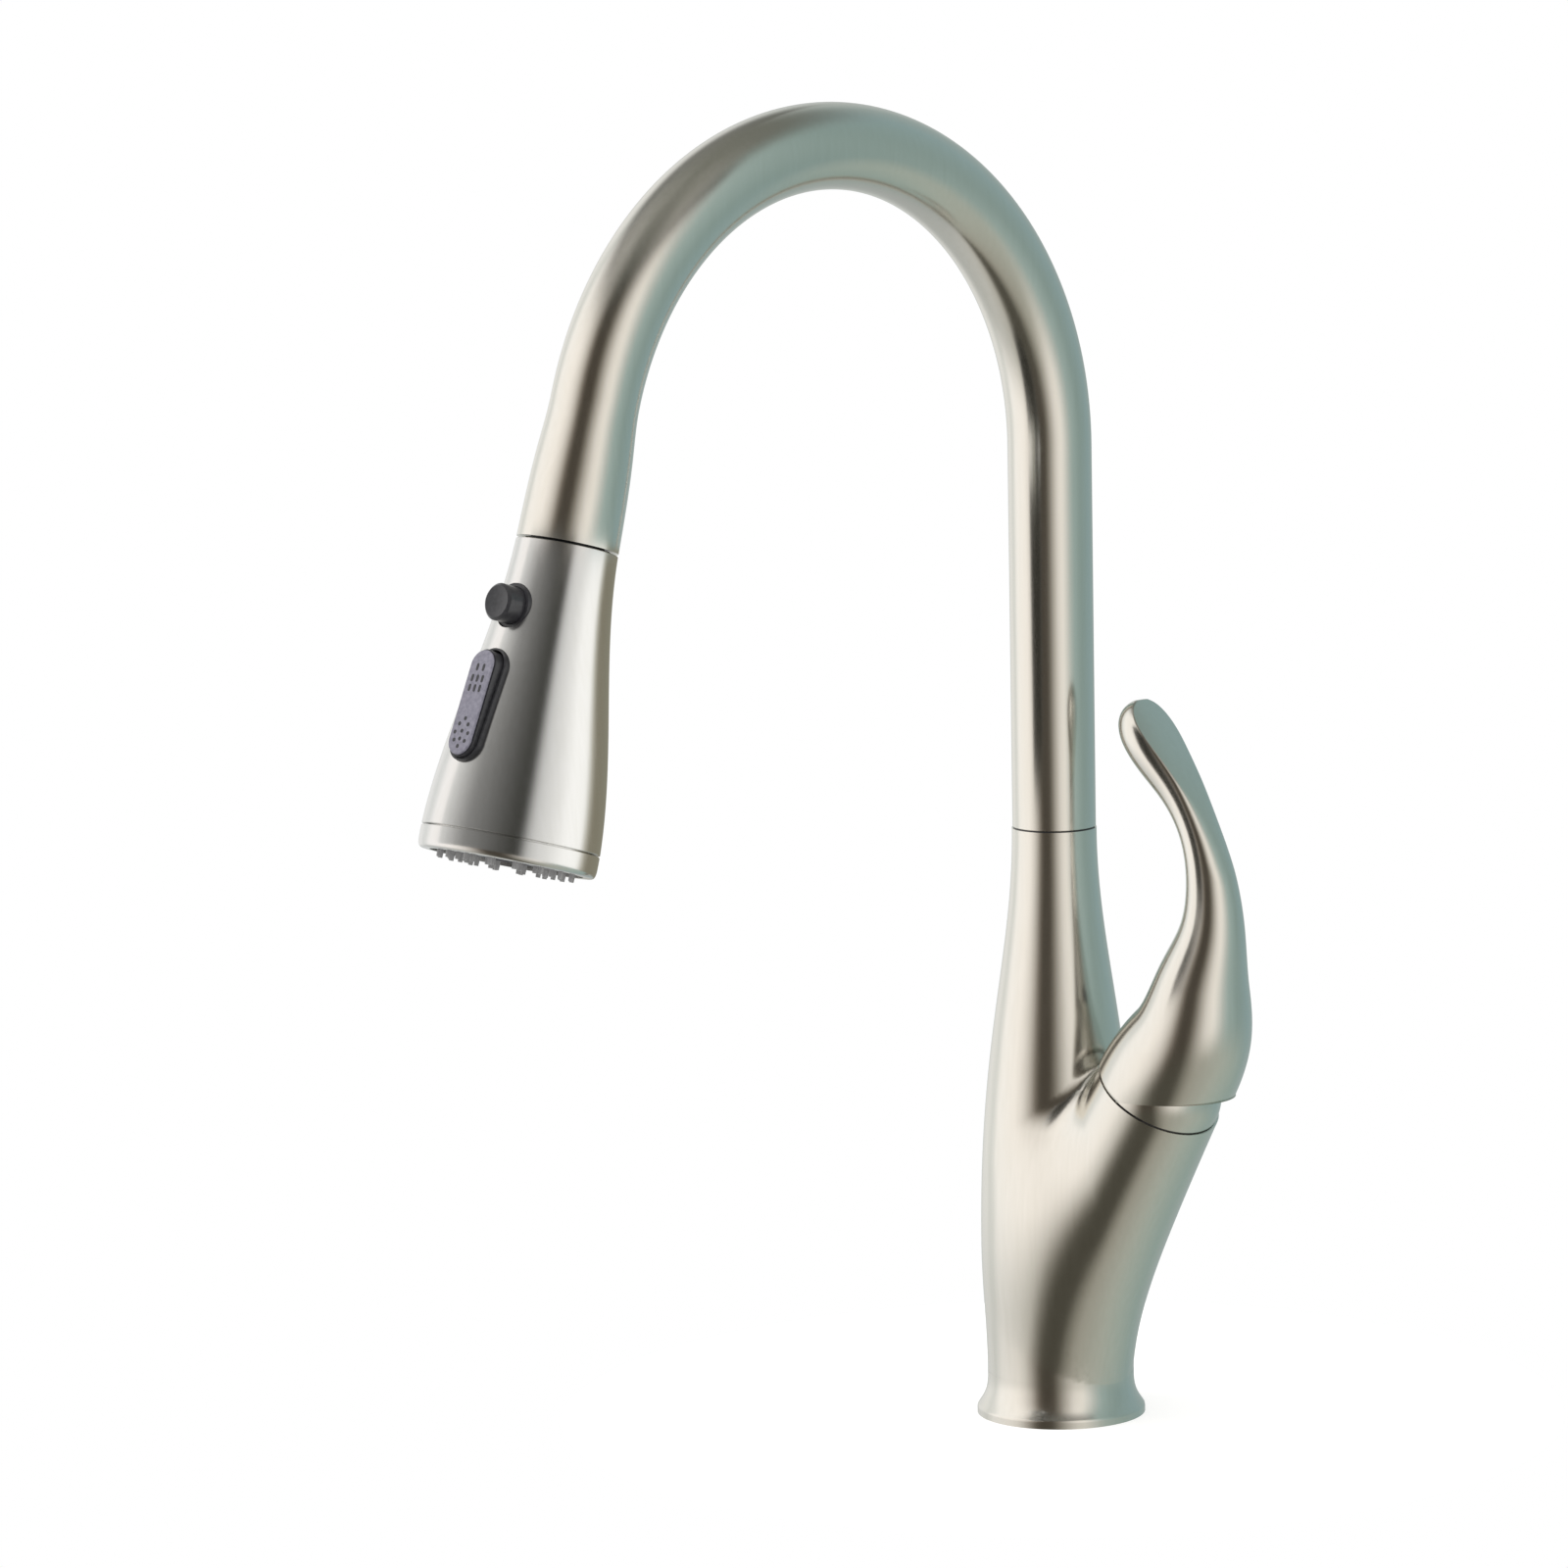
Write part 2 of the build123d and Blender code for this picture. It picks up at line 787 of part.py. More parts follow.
with BuildPart() as handle_lever:
    stations = horn_stations()
    centres = [station[0] for station in stations]
    spine = Spline(*centres, tangents=(branch_dir, centres[-1] - centres[-2]))
    for centre, radius in stations:
        along = spine.tangent_at(spine.param_at_point(centre))
        across = Vector(0, 1, 0).cross(along)
        with BuildSketch(Plane(origin=centre, x_dir=across, z_dir=along)):
            Circle(radius)
    loft()
    add(thumb_cutter(), mode=Mode.SUBTRACT)
    # The hood's edge: along the seam towards the column, level on the other side
    split(bisect_by=branch_plane(hood_edge), keep=Keep.TOP)
    split(bisect_by=Plane.XY.offset(branch_z + hood_edge), keep=Keep.TOP)
    # Inside of the hood
    with BuildSketch(branch_section):
        Circle(hood_inner_r)
        Rectangle(
            2 * hood_inner_r,
            2 * hood_inner_r,
            align=(Align.MAX, Align.CENTER),
            mode=Mode.SUBTRACT,
        )
    revolve(axis=branch_axis, mode=Mode.SUBTRACT)
    # Socket for the stem, grub screw and index plug on the column's side
    with BuildSketch(branch_plane(hood_inner_r - overrun)):
        Rectangle(stem_side + 2 * running_gap, stem_side + 2 * running_gap)
    extrude(amount=stem_top + free_gap - hood_inner_r + overrun, mode=Mode.SUBTRACT)
    screw_seat = pivot + branch_dir * screw_s
    with BuildSketch(Plane(origin=screw_seat, x_dir=(0, 1, 0), z_dir=branch_out * -1)):
        Circle(screw_r + running_gap)
    extrude(amount=2 * hood_r, mode=Mode.SUBTRACT)
    plug_seat = screw_seat - branch_out * (hood_waist_r - plug_depth - plug_inset)
    with BuildSketch(Plane(origin=plug_seat, x_dir=(0, 1, 0), z_dir=branch_out * -1)):
        Circle(plug_r + slip_gap)
    extrude(amount=2 * plug_depth + plug_inset + overrun, mode=Mode.SUBTRACT)
save(handle_lever, "handle_lever")

with BuildPart() as handle_screw:
    screw_tip = screw_seat - branch_out * (stem_side / 2)
    with BuildSketch(Plane(origin=screw_tip, x_dir=(0, 1, 0), z_dir=branch_out * -1)):
        Circle(screw_r)
    extrude(amount=screw_length)
    with BuildSketch(
        Plane(
            origin=screw_tip - branch_out * screw_length,
            x_dir=(0, 1, 0),
            z_dir=branch_out,
        )
    ):
        RegularPolygon(radius=screw_hex_r, side_count=6)
    extrude(amount=screw_hex_depth, mode=Mode.SUBTRACT)
save(handle_screw, "handle_screw")

with BuildPart() as index_plug:
    with BuildSketch(Plane(origin=plug_seat, x_dir=(0, 1, 0), z_dir=branch_out * -1)):
        Circle(plug_r)
    extrude(amount=plug_depth)
    fillet(index_plug.faces().sort_by(Axis(pivot, branch_out))[0].edges(), plug_edge)
save(index_plug, "index_plug")


# Spout: arched tube with its bearing insert, clip, dock sleeve and magnet
def spout_path(low):
    """Centre line of the spout from a height up and over to the arc's end."""
    top = (0, 0, arc_start)
    with BuildLine() as path:
        Line((0, 0, low), top)
        half = radians(arc_sweep / 2)
        middle = arc_centre + Vector(0, arc_r * cos(half), arc_r * sin(half))
        ThreePointArc(top, middle, arc_end)
    return path.line


tube_low = column_top + thrust_height
with BuildPart() as spout_tube:
    with BuildSketch(Plane.XY.offset(tube_low)):
        Circle(tube_r)
        Circle(tube_r - tube_wall, mode=Mode.SUBTRACT)
    extrude(amount=arc_start - tube_low)
    with BuildSketch(Plane.XY.offset(arc_start)):
        Circle(tube_r)
        Circle(tube_r - tube_wall, mode=Mode.SUBTRACT)
    revolve(axis=Axis(arc_centre, (1, 0, 0)), revolution_arc=arc_sweep)
    with BuildSketch(head_section):
        with BuildLine():
            Line((tube_r - tube_wall, -end_length), (tube_r, -end_length))
            Spline(
                (tube_r, -end_length),
                (end_mid_r, -end_mid),
                (end_r, -seam_gap),
                tangents=((0, 1), (0.02, 1)),
            )
            Polyline(
                (end_r, -seam_gap),
                (end_bore_r, -seam_gap),
                (end_bore_r, sleeve_top - slip_gap),
                (tube_r - tube_wall, sleeve_top - slip_gap),
                (tube_r - tube_wall, -end_length),
            )
        make_face()
    revolve(axis=head_axis)
save(spout_tube, "spout_tube")

with BuildPart() as thrust_ring:
    ring = band(Plane.XZ, column_bore_r + slip_gap, tube_r - thrust_inset, column_top, tube_low)
    revolve(ring, axis=Axis.Z)
save(thrust_ring, "thrust_ring")

with BuildPart() as spout_insert:
    insert_top = tube_low + insert_plug
    glide_floor = insert_r - glide_groove
    steps = [(insert_bore_r, insert_low), (insert_r, insert_low)]
    grooves = [(low, low + glide_width, glide_floor) for low in glide_lows]
    grooves.append((clip_low - slip_gap, clip_low + clip_height + slip_gap, clip_in_r - slip_gap))
    for low, high, floor in sorted(grooves):
        steps += [(insert_r, low), (floor, low), (floor, high), (insert_r, high)]
    steps += [
        (insert_r, tube_low),
        (tube_r - tube_wall - running_gap, tube_low),
        (tube_r - tube_wall - running_gap, insert_top),
        (insert_bore_r, insert_top),
    ]
    revolve(outline(Plane.XZ, steps), axis=Axis.Z)
save(spout_insert, "spout_insert")

with BuildPart() as glide_rings:
    for low in glide_lows:
        ring = band(
            Plane.XZ,
            glide_floor + running_gap,
            column_bore_r - running_gap,
            low + running_gap,
            low + glide_width - running_gap,
        )
        revolve(ring, axis=Axis.Z)
save(glide_rings, "glide_rings")

with BuildPart() as retaining_clip:
    ring = band(Plane.XZ, clip_in_r, clip_out_r, clip_low, clip_low + clip_height)
    revolve(ring, axis=Axis.Z)
    with BuildSketch(Plane.XY.offset(clip_low)):
        with Locations((0, clip_out_r)):
            Rectangle(clip_slit, 2 * clip_out_r - 2 * clip_in_r + 2 * overrun)
    extrude(amount=clip_height, mode=Mode.SUBTRACT)
save(retaining_clip, "retaining_clip")

with BuildPart() as dock_sleeve:
    profile = outline(
        head_section,
        [
            (magnet_bore_r, sleeve_top),
            (sleeve_r, sleeve_top),
            (sleeve_r, sleeve_end),
            (sleeve_bore_r + sleeve_lead, sleeve_end),
            (sleeve_bore_r, sleeve_end - sleeve_lead_depth),
            (sleeve_bore_r, magnet_end + slip_gap),
            (magnet_r + slip_gap, magnet_end + slip_gap),
            (magnet_r + slip_gap, magnet_top),
            (magnet_bore_r, magnet_top),
        ],
    )
    revolve(profile, axis=head_axis)
save(dock_sleeve, "dock_sleeve")

with BuildPart() as dock_magnet:
    revolve(band(head_section, magnet_bore_r, magnet_r, magnet_top, magnet_end), axis=head_axis)
save(dock_magnet, "dock_magnet")

# Hose: a fixed stretch in the column, a stretch in the spout, and the end that
# leaves the spout with the head
hose_split = insert_low - insert_clear
bend_rise = bend_high - bend_low
bend_r = (bend_rise**2 / 4 + passage_x**2 / 4) / abs(passage_x)
bend_middle = Vector(passage_x / 2, 0, (bend_low + bend_high) / 2)


def hose_ring(plane):
    with BuildSketch(plane) as ring:
        Circle(hose_r)
        Circle(hose_bore_r, mode=Mode.SUBTRACT)
    return ring.sketch


with BuildPart() as lower_hose:
    with BuildLine() as run:
        Line((passage_x, 0, hose_foot), (passage_x, 0, bend_low))
        first = TangentArc((passage_x, 0, bend_low), bend_middle, tangent=(0, 0, 1))
        second = TangentArc(bend_middle, (0, 0, bend_high), tangent=first % 1)
        Line((0, 0, bend_high), (0, 0, hose_split))
    foot_plane = Plane(origin=(passage_x, 0, hose_foot), z_dir=(0, 0, 1))
    sweep(hose_ring(foot_plane), path=run.line)
save(lower_hose, "lower_hose")

with BuildPart() as upper_hose:
    sweep(hose_ring(Plane.XY.offset(hose_split)), path=spout_path(hose_split))
save(upper_hose, "upper_hose")

with BuildPart() as hose_lead:
    ring = band(head_section, hose_bore_r, hose_r, -end_length, ferrule_floor - slip_gap)
    revolve(ring, axis=head_axis)
save(hose_lead, "hose_lead")

with BuildPart() as hose_ferrule:
    profile = outline(
        head_section,
        [
            (ferrule_bore_r, ferrule_barb_top),
            (hose_bore_r - running_gap, ferrule_barb_top),
            (hose_bore_r - running_gap, ferrule_floor),
            (hose_r + running_gap, ferrule_floor),
            (hose_r + running_gap, ferrule_top),
            (ferrule_r, ferrule_top),
            (ferrule_r, ferrule_end),
            (stub_r, ferrule_end),
            (stub_r, stub_flange),
            (stub_flange_r, stub_flange),
            (stub_flange_r, stub_end),
            (ferrule_bore_r, stub_end),
        ],
    )
    revolve(profile, axis=head_axis)
save(hose_ferrule, "hose_ferrule")

with BuildPart() as hose_nut:
    with BuildSketch(head_plane(hose_nut_low)):
        RegularPolygon(radius=nut_across / 2, side_count=6, major_radius=False)
    extrude(amount=hose_nut_end - hose_nut_low)
    profile = outline(
        head_section,
        [
            (0, hose_nut_low - overrun),
            (stub_r + slip_gap, hose_nut_low - overrun),
            (stub_r + slip_gap, stub_flange - slip_gap),
            (nipple_r + slip_gap, stub_flange - slip_gap),
            (nipple_r + slip_gap, hose_nut_end + overrun),
            (0, hose_nut_end + overrun),
        ],
    )
    revolve(profile, axis=head_axis, mode=Mode.SUBTRACT)
save(hose_nut, "hose_nut")

with BuildPart() as hose_washer:
    ring = band(head_section, ferrule_bore_r, nipple_r - slip_gap, nipple_top - washer_height, nipple_top)
    revolve(ring, axis=head_axis)
save(hose_washer, "hose_washer")


# Spray head
def head_curve(inset, top, low):
    """Flowing side of the head, moved in by a wall."""
    return Bezier(
        (head_top_r - inset, top),
        (head_pull_top_r - inset, head_pull_top),
        (head_pull_low_r - inset, head_pull_low),
        (head_low_r - inset, low),
    )


with BuildPart() as head_shell:
    with BuildSketch(head_section):
        with BuildLine():
            outside = head_curve(0, head_top, head_low)
            Line((head_low_r, head_low), (head_low_r - head_wall, head_low))
            inside = head_curve(head_wall, head_top + head_wall, head_low)
            Polyline(
                (head_top_r - head_wall, head_top + head_wall),
                (collar_r + 2 * slip_gap, head_top + head_wall),
                (collar_r + 2 * slip_gap, head_top),
                (head_top_r, head_top),
            )
        make_face()
    revolve(axis=head_axis)
    with BuildSketch(button_plane(button_pocket)):
        Circle(button_sleeve_r + slip_gap)
    extrude(amount=2 * head_top_r, mode=Mode.SUBTRACT)
    with BuildSketch(rocker_plane.offset(frame_low)):
        SlotOverall(frame_length + 2 * slip_gap, frame_width + 2 * slip_gap, rotation=90)
    extrude(amount=2 * abs(frame_low), mode=Mode.SUBTRACT)
save(head_shell, "head_shell")

with BuildPart() as head_rim:
    with BuildSketch(head_section):
        with BuildLine():
            Polyline(
                (rim_low_r, rim_low),
                (rim_lip_r, rim_low),
                (rim_lip_r, plate_low + slip_gap),
                (rim_bore_r, plate_low + slip_gap),
                (rim_bore_r, rim_sleeve_top),
                (rim_sleeve_r, rim_sleeve_top),
                (rim_sleeve_r, head_low + seam_gap),
                (rim_r, head_low + seam_gap),
                (rim_r, rim_low - rim_roll),
            )
            Bezier(
                (rim_r, rim_low - rim_roll),
                (rim_r, rim_low - rim_roll + rim_roll_pull),
                (rim_r - rim_roll_in, rim_low),
                (rim_low_r, rim_low),
            )
        make_face()
    revolve(axis=head_axis)
save(head_rim, "head_rim")

core_top = head_top + head_wall + slip_gap
leg_slot = rocker_width / 2
with BuildPart() as head_core:
    profile = outline(
        head_section,
        [
            (inlet_bore_r, nipple_top),
            (nipple_r, nipple_top),
            (nipple_r, collar_floor),
            (collar_bore_r, collar_floor),
            (collar_bore_r, collar_top),
            (collar_r, collar_top),
            (collar_r, core_top),
            (core_neck_r, core_top),
            (core_waist_r, core_waist_t),
            (core_waist_r, core_bell_top),
            (core_bell_r, core_bell),
            (core_bell_r, pad_top),
            (core_bell_r - core_bell_wall, pad_top),
            (core_bell_r - core_bell_wall, core_bell_floor),
            (aerator_boss_r, core_bell_floor),
            (aerator_boss_r, pad_top),
            (aerator_r + slip_gap, pad_top),
            (aerator_r + slip_gap, aerator_top - slip_gap),
            (spool_r + slip_gap, chamber_low),
            (spool_r + slip_gap, chamber_high),
            (inlet_bore_r, chamber_high),
        ],
    )
    revolve(profile, axis=head_axis)
    # Seat of the pause button's sleeve, its spring pocket and its stem's bore
    with BuildSketch(button_plane(button_sleeve_low)):
        Circle(button_sleeve_r + slip_gap)
    extrude(amount=core_neck_r, mode=Mode.SUBTRACT)
    with BuildSketch(button_plane(button_pocket)):
        Circle(button_pocket_r)
    extrude(amount=core_neck_r, mode=Mode.SUBTRACT)
    with BuildSketch(button_plane(0)):
        Circle(button_stem_r + slip_gap)
    extrude(amount=core_neck_r, mode=Mode.SUBTRACT)
    # Slot of the rocker's leg
    with BuildSketch(head_plane(leg_t - leg_slot)):
        with Locations((0, core_waist_r / 2 + overrun)):
            Rectangle(2 * leg_r + 2 * leg_gap, core_waist_r + 2 * overrun)
    extrude(amount=2 * leg_slot, mode=Mode.SUBTRACT)
save(head_core, "head_core")

with BuildPart() as docking_ring:
    ring = band(head_section, collar_bore_r, collar_r - slip_gap, collar_top - dock_ring_height, collar_top)
    revolve(ring, axis=head_axis)
save(docking_ring, "docking_ring")

with BuildPart() as check_valve:
    profile = outline(
        head_section,
        [
            (valve_bore_r, valve_top),
            (inlet_bore_r - running_gap, valve_top),
            (inlet_bore_r - running_gap, valve_shoulder),
            (valve_nose_r, valve_end),
            (valve_bore_r, valve_end),
        ],
    )
    revolve(profile, axis=head_axis)
save(check_valve, "check_valve")


def nozzle_spots():
    """Centres of all the nozzles, in rings about the aerator."""
    spots = []
    rings = (
        (nozzle_outer_r, nozzle_outer_count),
        (nozzle_middle_r, nozzle_middle_count),
        (nozzle_inner_r, nozzle_inner_count),
    )
    for radius, count in rings:
        for step in range(count):
            turn = radians(360 * (step + 0.5) / count)
            spots.append((radius * cos(turn), radius * sin(turn)))
    return spots


with BuildPart() as spray_plate:
    with BuildSketch(head_plane(plate_top)):
        Circle(rim_bore_r - slip_gap)
        Circle(aerator_r + 2 * slip_gap, mode=Mode.SUBTRACT)
        with Locations(*nozzle_spots()):
            Circle(nozzle_hole_r, mode=Mode.SUBTRACT)
    extrude(amount=plate_low - plate_top)
save(spray_plate, "spray_plate")

with BuildPart() as spray_jets:
    with BuildSketch(head_plane(pad_top)):
        Circle(core_bell_r)
        Circle(aerator_r + 2 * slip_gap, mode=Mode.SUBTRACT)
    extrude(amount=plate_top - pad_top)
    with BuildSketch(head_plane(plate_top)):
        with Locations(*nozzle_spots()):
            Circle(nozzle_r)
    extrude(amount=nozzle_tip - plate_top, taper=3)
save(spray_jets, "spray_jets")

with BuildPart() as aerator_housing:
    ring = band(head_section, aerator_r - aerator_wall, aerator_r, aerator_top, aerator_low)
    revolve(ring, axis=head_axis)
    chamfer(aerator_housing.edges().filter_by(GeomType.CIRCLE).group_by(Axis(dock, down))[-1], aerator_edge)
save(aerator_housing, "aerator_housing")

with BuildPart() as aerator_insert:
    insert_out_r = aerator_r - aerator_wall - slip_gap
    with BuildSketch(head_plane(aerator_top)):
        Circle(insert_out_r)
    extrude(amount=aerator_low - aerator_top - screen_recess)
    # Rings of the flow screen
    with BuildSketch(head_plane(aerator_low - screen_recess)):
        for groove in screen_radii:
            Circle(groove + screen_slit)
            Circle(groove, mode=Mode.SUBTRACT)
    extrude(amount=-screen_depth, mode=Mode.SUBTRACT)
save(aerator_insert, "aerator_insert")

with BuildPart() as diverter_spool:
    waist_low = leg_t - spool_waist
    waist_high = leg_t + spool_waist
    profile = outline(
        head_section,
        [
            (0, spool_top),
            (spool_r, spool_top),
            (spool_r, waist_low),
            (spool_waist_r, waist_low),
            (spool_waist_r, waist_high),
            (spool_r, waist_high),
            (spool_r, spool_end),
            (0, spool_end),
        ],
    )
    revolve(profile, axis=head_axis)
save(diverter_spool, "diverter_spool")

# Pause button with its sleeve and return spring
with BuildPart() as button_sleeve:
    with BuildSketch(button_plane(button_sleeve_low)):
        Circle(button_sleeve_r)
    extrude(amount=button_sleeve_face - button_sleeve_low)
    with BuildSketch(button_plane(button_sleeve_low)):
        Circle(button_flange_r + 2 * slip_gap)
    extrude(amount=button_low + button_flange + slip_gap - button_sleeve_low, mode=Mode.SUBTRACT)
    with BuildSketch(button_plane(button_low)):
        Circle(button_r + 1.5 * slip_gap)
    extrude(amount=button_face, mode=Mode.SUBTRACT)
save(button_sleeve, "button_sleeve")

with BuildPart() as pause_button:
    with BuildSketch(button_plane(button_low)):
        Circle(button_flange_r)
    extrude(amount=button_flange)
    with BuildSketch(button_plane(button_low)):
        Circle(button_r)
    extrude(amount=button_face - button_low)
    chamfer(pause_button.faces().sort_by(Axis(dock, front))[-1].edges(), button_edge)
    # Shallow dish in the face
    dish_centre = dock + down * button_t + front * (button_face - button_dish + button_dish_r)
    with Locations(Location(dish_centre)):
        Sphere(button_dish_r, mode=Mode.SUBTRACT)
    with BuildSketch(button_plane(button_stem_low)):
        Circle(button_stem_r)
    extrude(amount=button_low - button_stem_low)
save(pause_button, "pause_button")

with BuildPart() as button_spring:
    coil_height = button_low - button_pocket - 2 * spring_wire_r - 2 * slip_gap
    coil_base = button_plane(button_pocket + spring_wire_r + slip_gap)
    with BuildLine() as coil:
        Helix(
            pitch=coil_height / spring_turns,
            height=coil_height,
            radius=spring_r,
            center=coil_base.origin,
            direction=coil_base.z_dir,
        )
    with BuildSketch(Plane(origin=coil.line @ 0, z_dir=coil.line % 0)) as wire:
        Circle(spring_wire_r)
    sweep(wire.sketch, path=coil.line)
save(button_spring, "button_spring")


# Mode rocker with its frame, pin and face
def rocker_level(height):
    """Plane of the rocker, leaned about its pin to the stream setting."""
    lean = radians(rocker_lean)
    up = rocker_plane.y_dir
    out = rocker_out * cos(lean) - up * sin(lean)
    return Plane(origin=pin_centre + out * (height - rocker_pin_w), x_dir=(1, 0, 0), z_dir=out)


with BuildPart() as rocker_frame:
    with BuildSketch(rocker_plane.offset(frame_low)):
        SlotOverall(frame_length, frame_width, rotation=90)
    extrude(amount=frame_face - frame_low)
    with BuildSketch(rocker_plane.offset(frame_low + frame_floor)):
        SlotOverall(frame_bore_length, frame_bore_width, rotation=90)
    extrude(amount=frame_face - frame_low, mode=Mode.SUBTRACT)
    with BuildSketch(rocker_plane.offset(frame_low - overrun)):
        Rectangle(rocker_width, frame_window)
    extrude(amount=frame_floor + 2 * overrun, mode=Mode.SUBTRACT)
    with BuildSketch(Plane(origin=pin_centre, x_dir=rocker_out, z_dir=(1, 0, 0))):
        Circle(rocker_pin_r + running_gap)
    extrude(amount=frame_width, both=True, mode=Mode.SUBTRACT)
save(rocker_frame, "rocker_frame")

with BuildPart() as rocker_pin:
    with BuildSketch(Plane(origin=pin_centre, x_dir=rocker_out, z_dir=(1, 0, 0))):
        Circle(rocker_pin_r)
    extrude(amount=frame_width / 2 - pin_inset, both=True)
save(rocker_pin, "rocker_pin")

with BuildPart() as mode_rocker:
    with BuildSketch(rocker_level(rocker_low)):
        SlotOverall(rocker_length, rocker_width, rotation=90)
    extrude(amount=rocker_height - rocker_cap - rocker_low)
    # Lugs round the pin and the leg that drives the diverter
    with BuildSketch(Plane(origin=pin_centre, x_dir=rocker_out, z_dir=(1, 0, 0))):
        Circle(rocker_lug_r)
        with Locations((rocker_lug / 2, 0)):
            Rectangle(rocker_lug, 2 * rocker_lug_r)
    extrude(amount=rocker_width / 2 - rocker_lug_inset, both=True)
    leg_length = (pin_centre - dock).dot(front) - leg_tip
    with BuildSketch(Plane(origin=pin_centre, x_dir=(1, 0, 0), z_dir=front * -1)):
        Circle(leg_r)
    extrude(amount=leg_length)
    with BuildSketch(Plane(origin=pin_centre, x_dir=rocker_out, z_dir=(1, 0, 0))):
        Circle(rocker_pin_r + running_gap)
    extrude(amount=frame_width, both=True, mode=Mode.SUBTRACT)
save(mode_rocker, "mode_rocker")

with BuildPart() as rocker_face:
    with BuildSketch(rocker_level(rocker_height - rocker_cap)):
        SlotOverall(
            rocker_length - 2 * rocker_face_inset,
            rocker_width - 2 * rocker_face_inset,
            rotation=90,
        )
    extrude(amount=rocker_cap)
    fillet(rocker_face.faces().sort_by(Axis(rocker_origin, rocker_out))[-1].edges(), rocker_face_edge)
save(rocker_face, "rocker_face")
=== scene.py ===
"""Looks of the pull-down kitchen faucet: finer forms, finishes, studio and camera.

The forms are worked out in millimetres. The origin is the centre of the base on the worktop, +Z is
up, the spout reaches towards -Y and the lever branch leans towards +X.
"""

import json
import math

import bmesh
import bpy
import numpy as np
from mathutils import Matrix, Vector


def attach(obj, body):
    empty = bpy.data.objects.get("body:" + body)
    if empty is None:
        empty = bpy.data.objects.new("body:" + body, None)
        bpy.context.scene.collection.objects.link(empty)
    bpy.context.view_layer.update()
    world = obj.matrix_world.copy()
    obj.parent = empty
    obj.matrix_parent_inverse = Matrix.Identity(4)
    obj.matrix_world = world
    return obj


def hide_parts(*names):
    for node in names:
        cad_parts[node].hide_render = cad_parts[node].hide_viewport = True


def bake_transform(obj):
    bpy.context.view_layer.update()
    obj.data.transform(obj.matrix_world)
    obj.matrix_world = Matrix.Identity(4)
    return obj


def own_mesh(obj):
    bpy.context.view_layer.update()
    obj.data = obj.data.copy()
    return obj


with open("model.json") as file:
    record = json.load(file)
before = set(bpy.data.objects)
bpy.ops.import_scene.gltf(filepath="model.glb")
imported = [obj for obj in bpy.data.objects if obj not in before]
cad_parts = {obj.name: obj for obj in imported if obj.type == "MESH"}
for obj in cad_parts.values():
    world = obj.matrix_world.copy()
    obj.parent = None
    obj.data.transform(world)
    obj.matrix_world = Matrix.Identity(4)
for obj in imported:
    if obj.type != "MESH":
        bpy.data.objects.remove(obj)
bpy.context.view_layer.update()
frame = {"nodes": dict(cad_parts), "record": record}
nodes = frame["nodes"]
MM = 0.001

ACROSS = np.array([1.0, 0.0, 0.0])
SIDE = np.array([0.0, 1.0, 0.0])
UP = np.array([0.0, 0.0, 1.0])

# Column and base flange: radii, heights and the pulls of the curves between them
BASE_R = 26.0
BASE_EDGE = 2.2
FLARE_PULL = (23.6, 5.4)
NECK_R = 22.6
NECK_Z = 12.5
NECK_LOW_PULL = 7.35
NECK_HIGH_PULL = 28.5
BELLY_R = 24.1
BELLY_Z = 54.0
BELLY_LOW_PULL = 38.0
BELLY_HIGH_PULL = 119.0
SHOULDER_PULL = 143.2
COLUMN_TOP = 183.2
COLUMN_TOP_R = 13.0
RUN_ON = 20.0
FLANGE_JOIN = 12.6

# Leaning branch: its frame, with the lever's pivot at its mouth, and its radii from foot to mouth
TILT = math.radians(32.0)
PIVOT = np.array([42.8, 0.0, 105.2])
BRANCH = np.array([math.sin(TILT), 0.0, math.cos(TILT)])
OUT = np.array([math.cos(TILT), 0.0, -math.sin(TILT)])
BRANCH_R = 19.6
BRANCH_RADII = (21.3, 22.0, 21.8, 20.8, BRANCH_R)
BRANCH_FOOT = (1.1, 0, 9.0)
BRANCH_FOOT_PULL = (1.1, 0, 40.0)
BRANCH_MOUTH_PULL = 49.0

# Valley between the two: a hairline at the flange that widens, and narrows again to the crotch
VALLEY_SEAM = 0.02
VALLEY_FULL = 80.0
VALLEY_WIDTH = 15.0
NARROW_AT = (92, 98, 105, 112, 125)
NARROW_TO = (1.0, 0.75, 0.45, 0.33, 0.27)

# Arch, and the frame of the spray head that docks in its end
ARC_START = 300.7
ARC_R = 95.4
ARC_SWEEP = math.radians(163.5)
END_LENGTH = 42.0
END_SPOKE = np.array([0.0, math.cos(ARC_SWEEP), math.sin(ARC_SWEEP)])
DOWN = np.array([0.0, -math.sin(ARC_SWEEP), math.cos(ARC_SWEEP)])
FRONT = np.array([0.0, DOWN[2], -DOWN[1]])
ARC_CENTRE = np.array([0.0, -ARC_R, ARC_START])
DOCK = ARC_CENTRE + ARC_R * END_SPOKE + DOWN * END_LENGTH

# Tolerances: lying in a plane, lying on a field's zero level, and two directions agreeing
TOUCH = 0.02
ON_LEVEL = 0.04
AGREEMENT = 0.8
SLOPE_STEP = 0.02


# Curves
def bezier(a, b, c, d, count=60):
    """Points of a cubic Bezier curve."""
    t = np.linspace(0.0, 1.0, count)[:, None]
    a, b, c, d = (np.array(p, float) for p in (a, b, c, d))
    return (1 - t) ** 3 * a + 3 * (1 - t) ** 2 * t * b + 3 * (1 - t) * t * t * c + t**3 * d


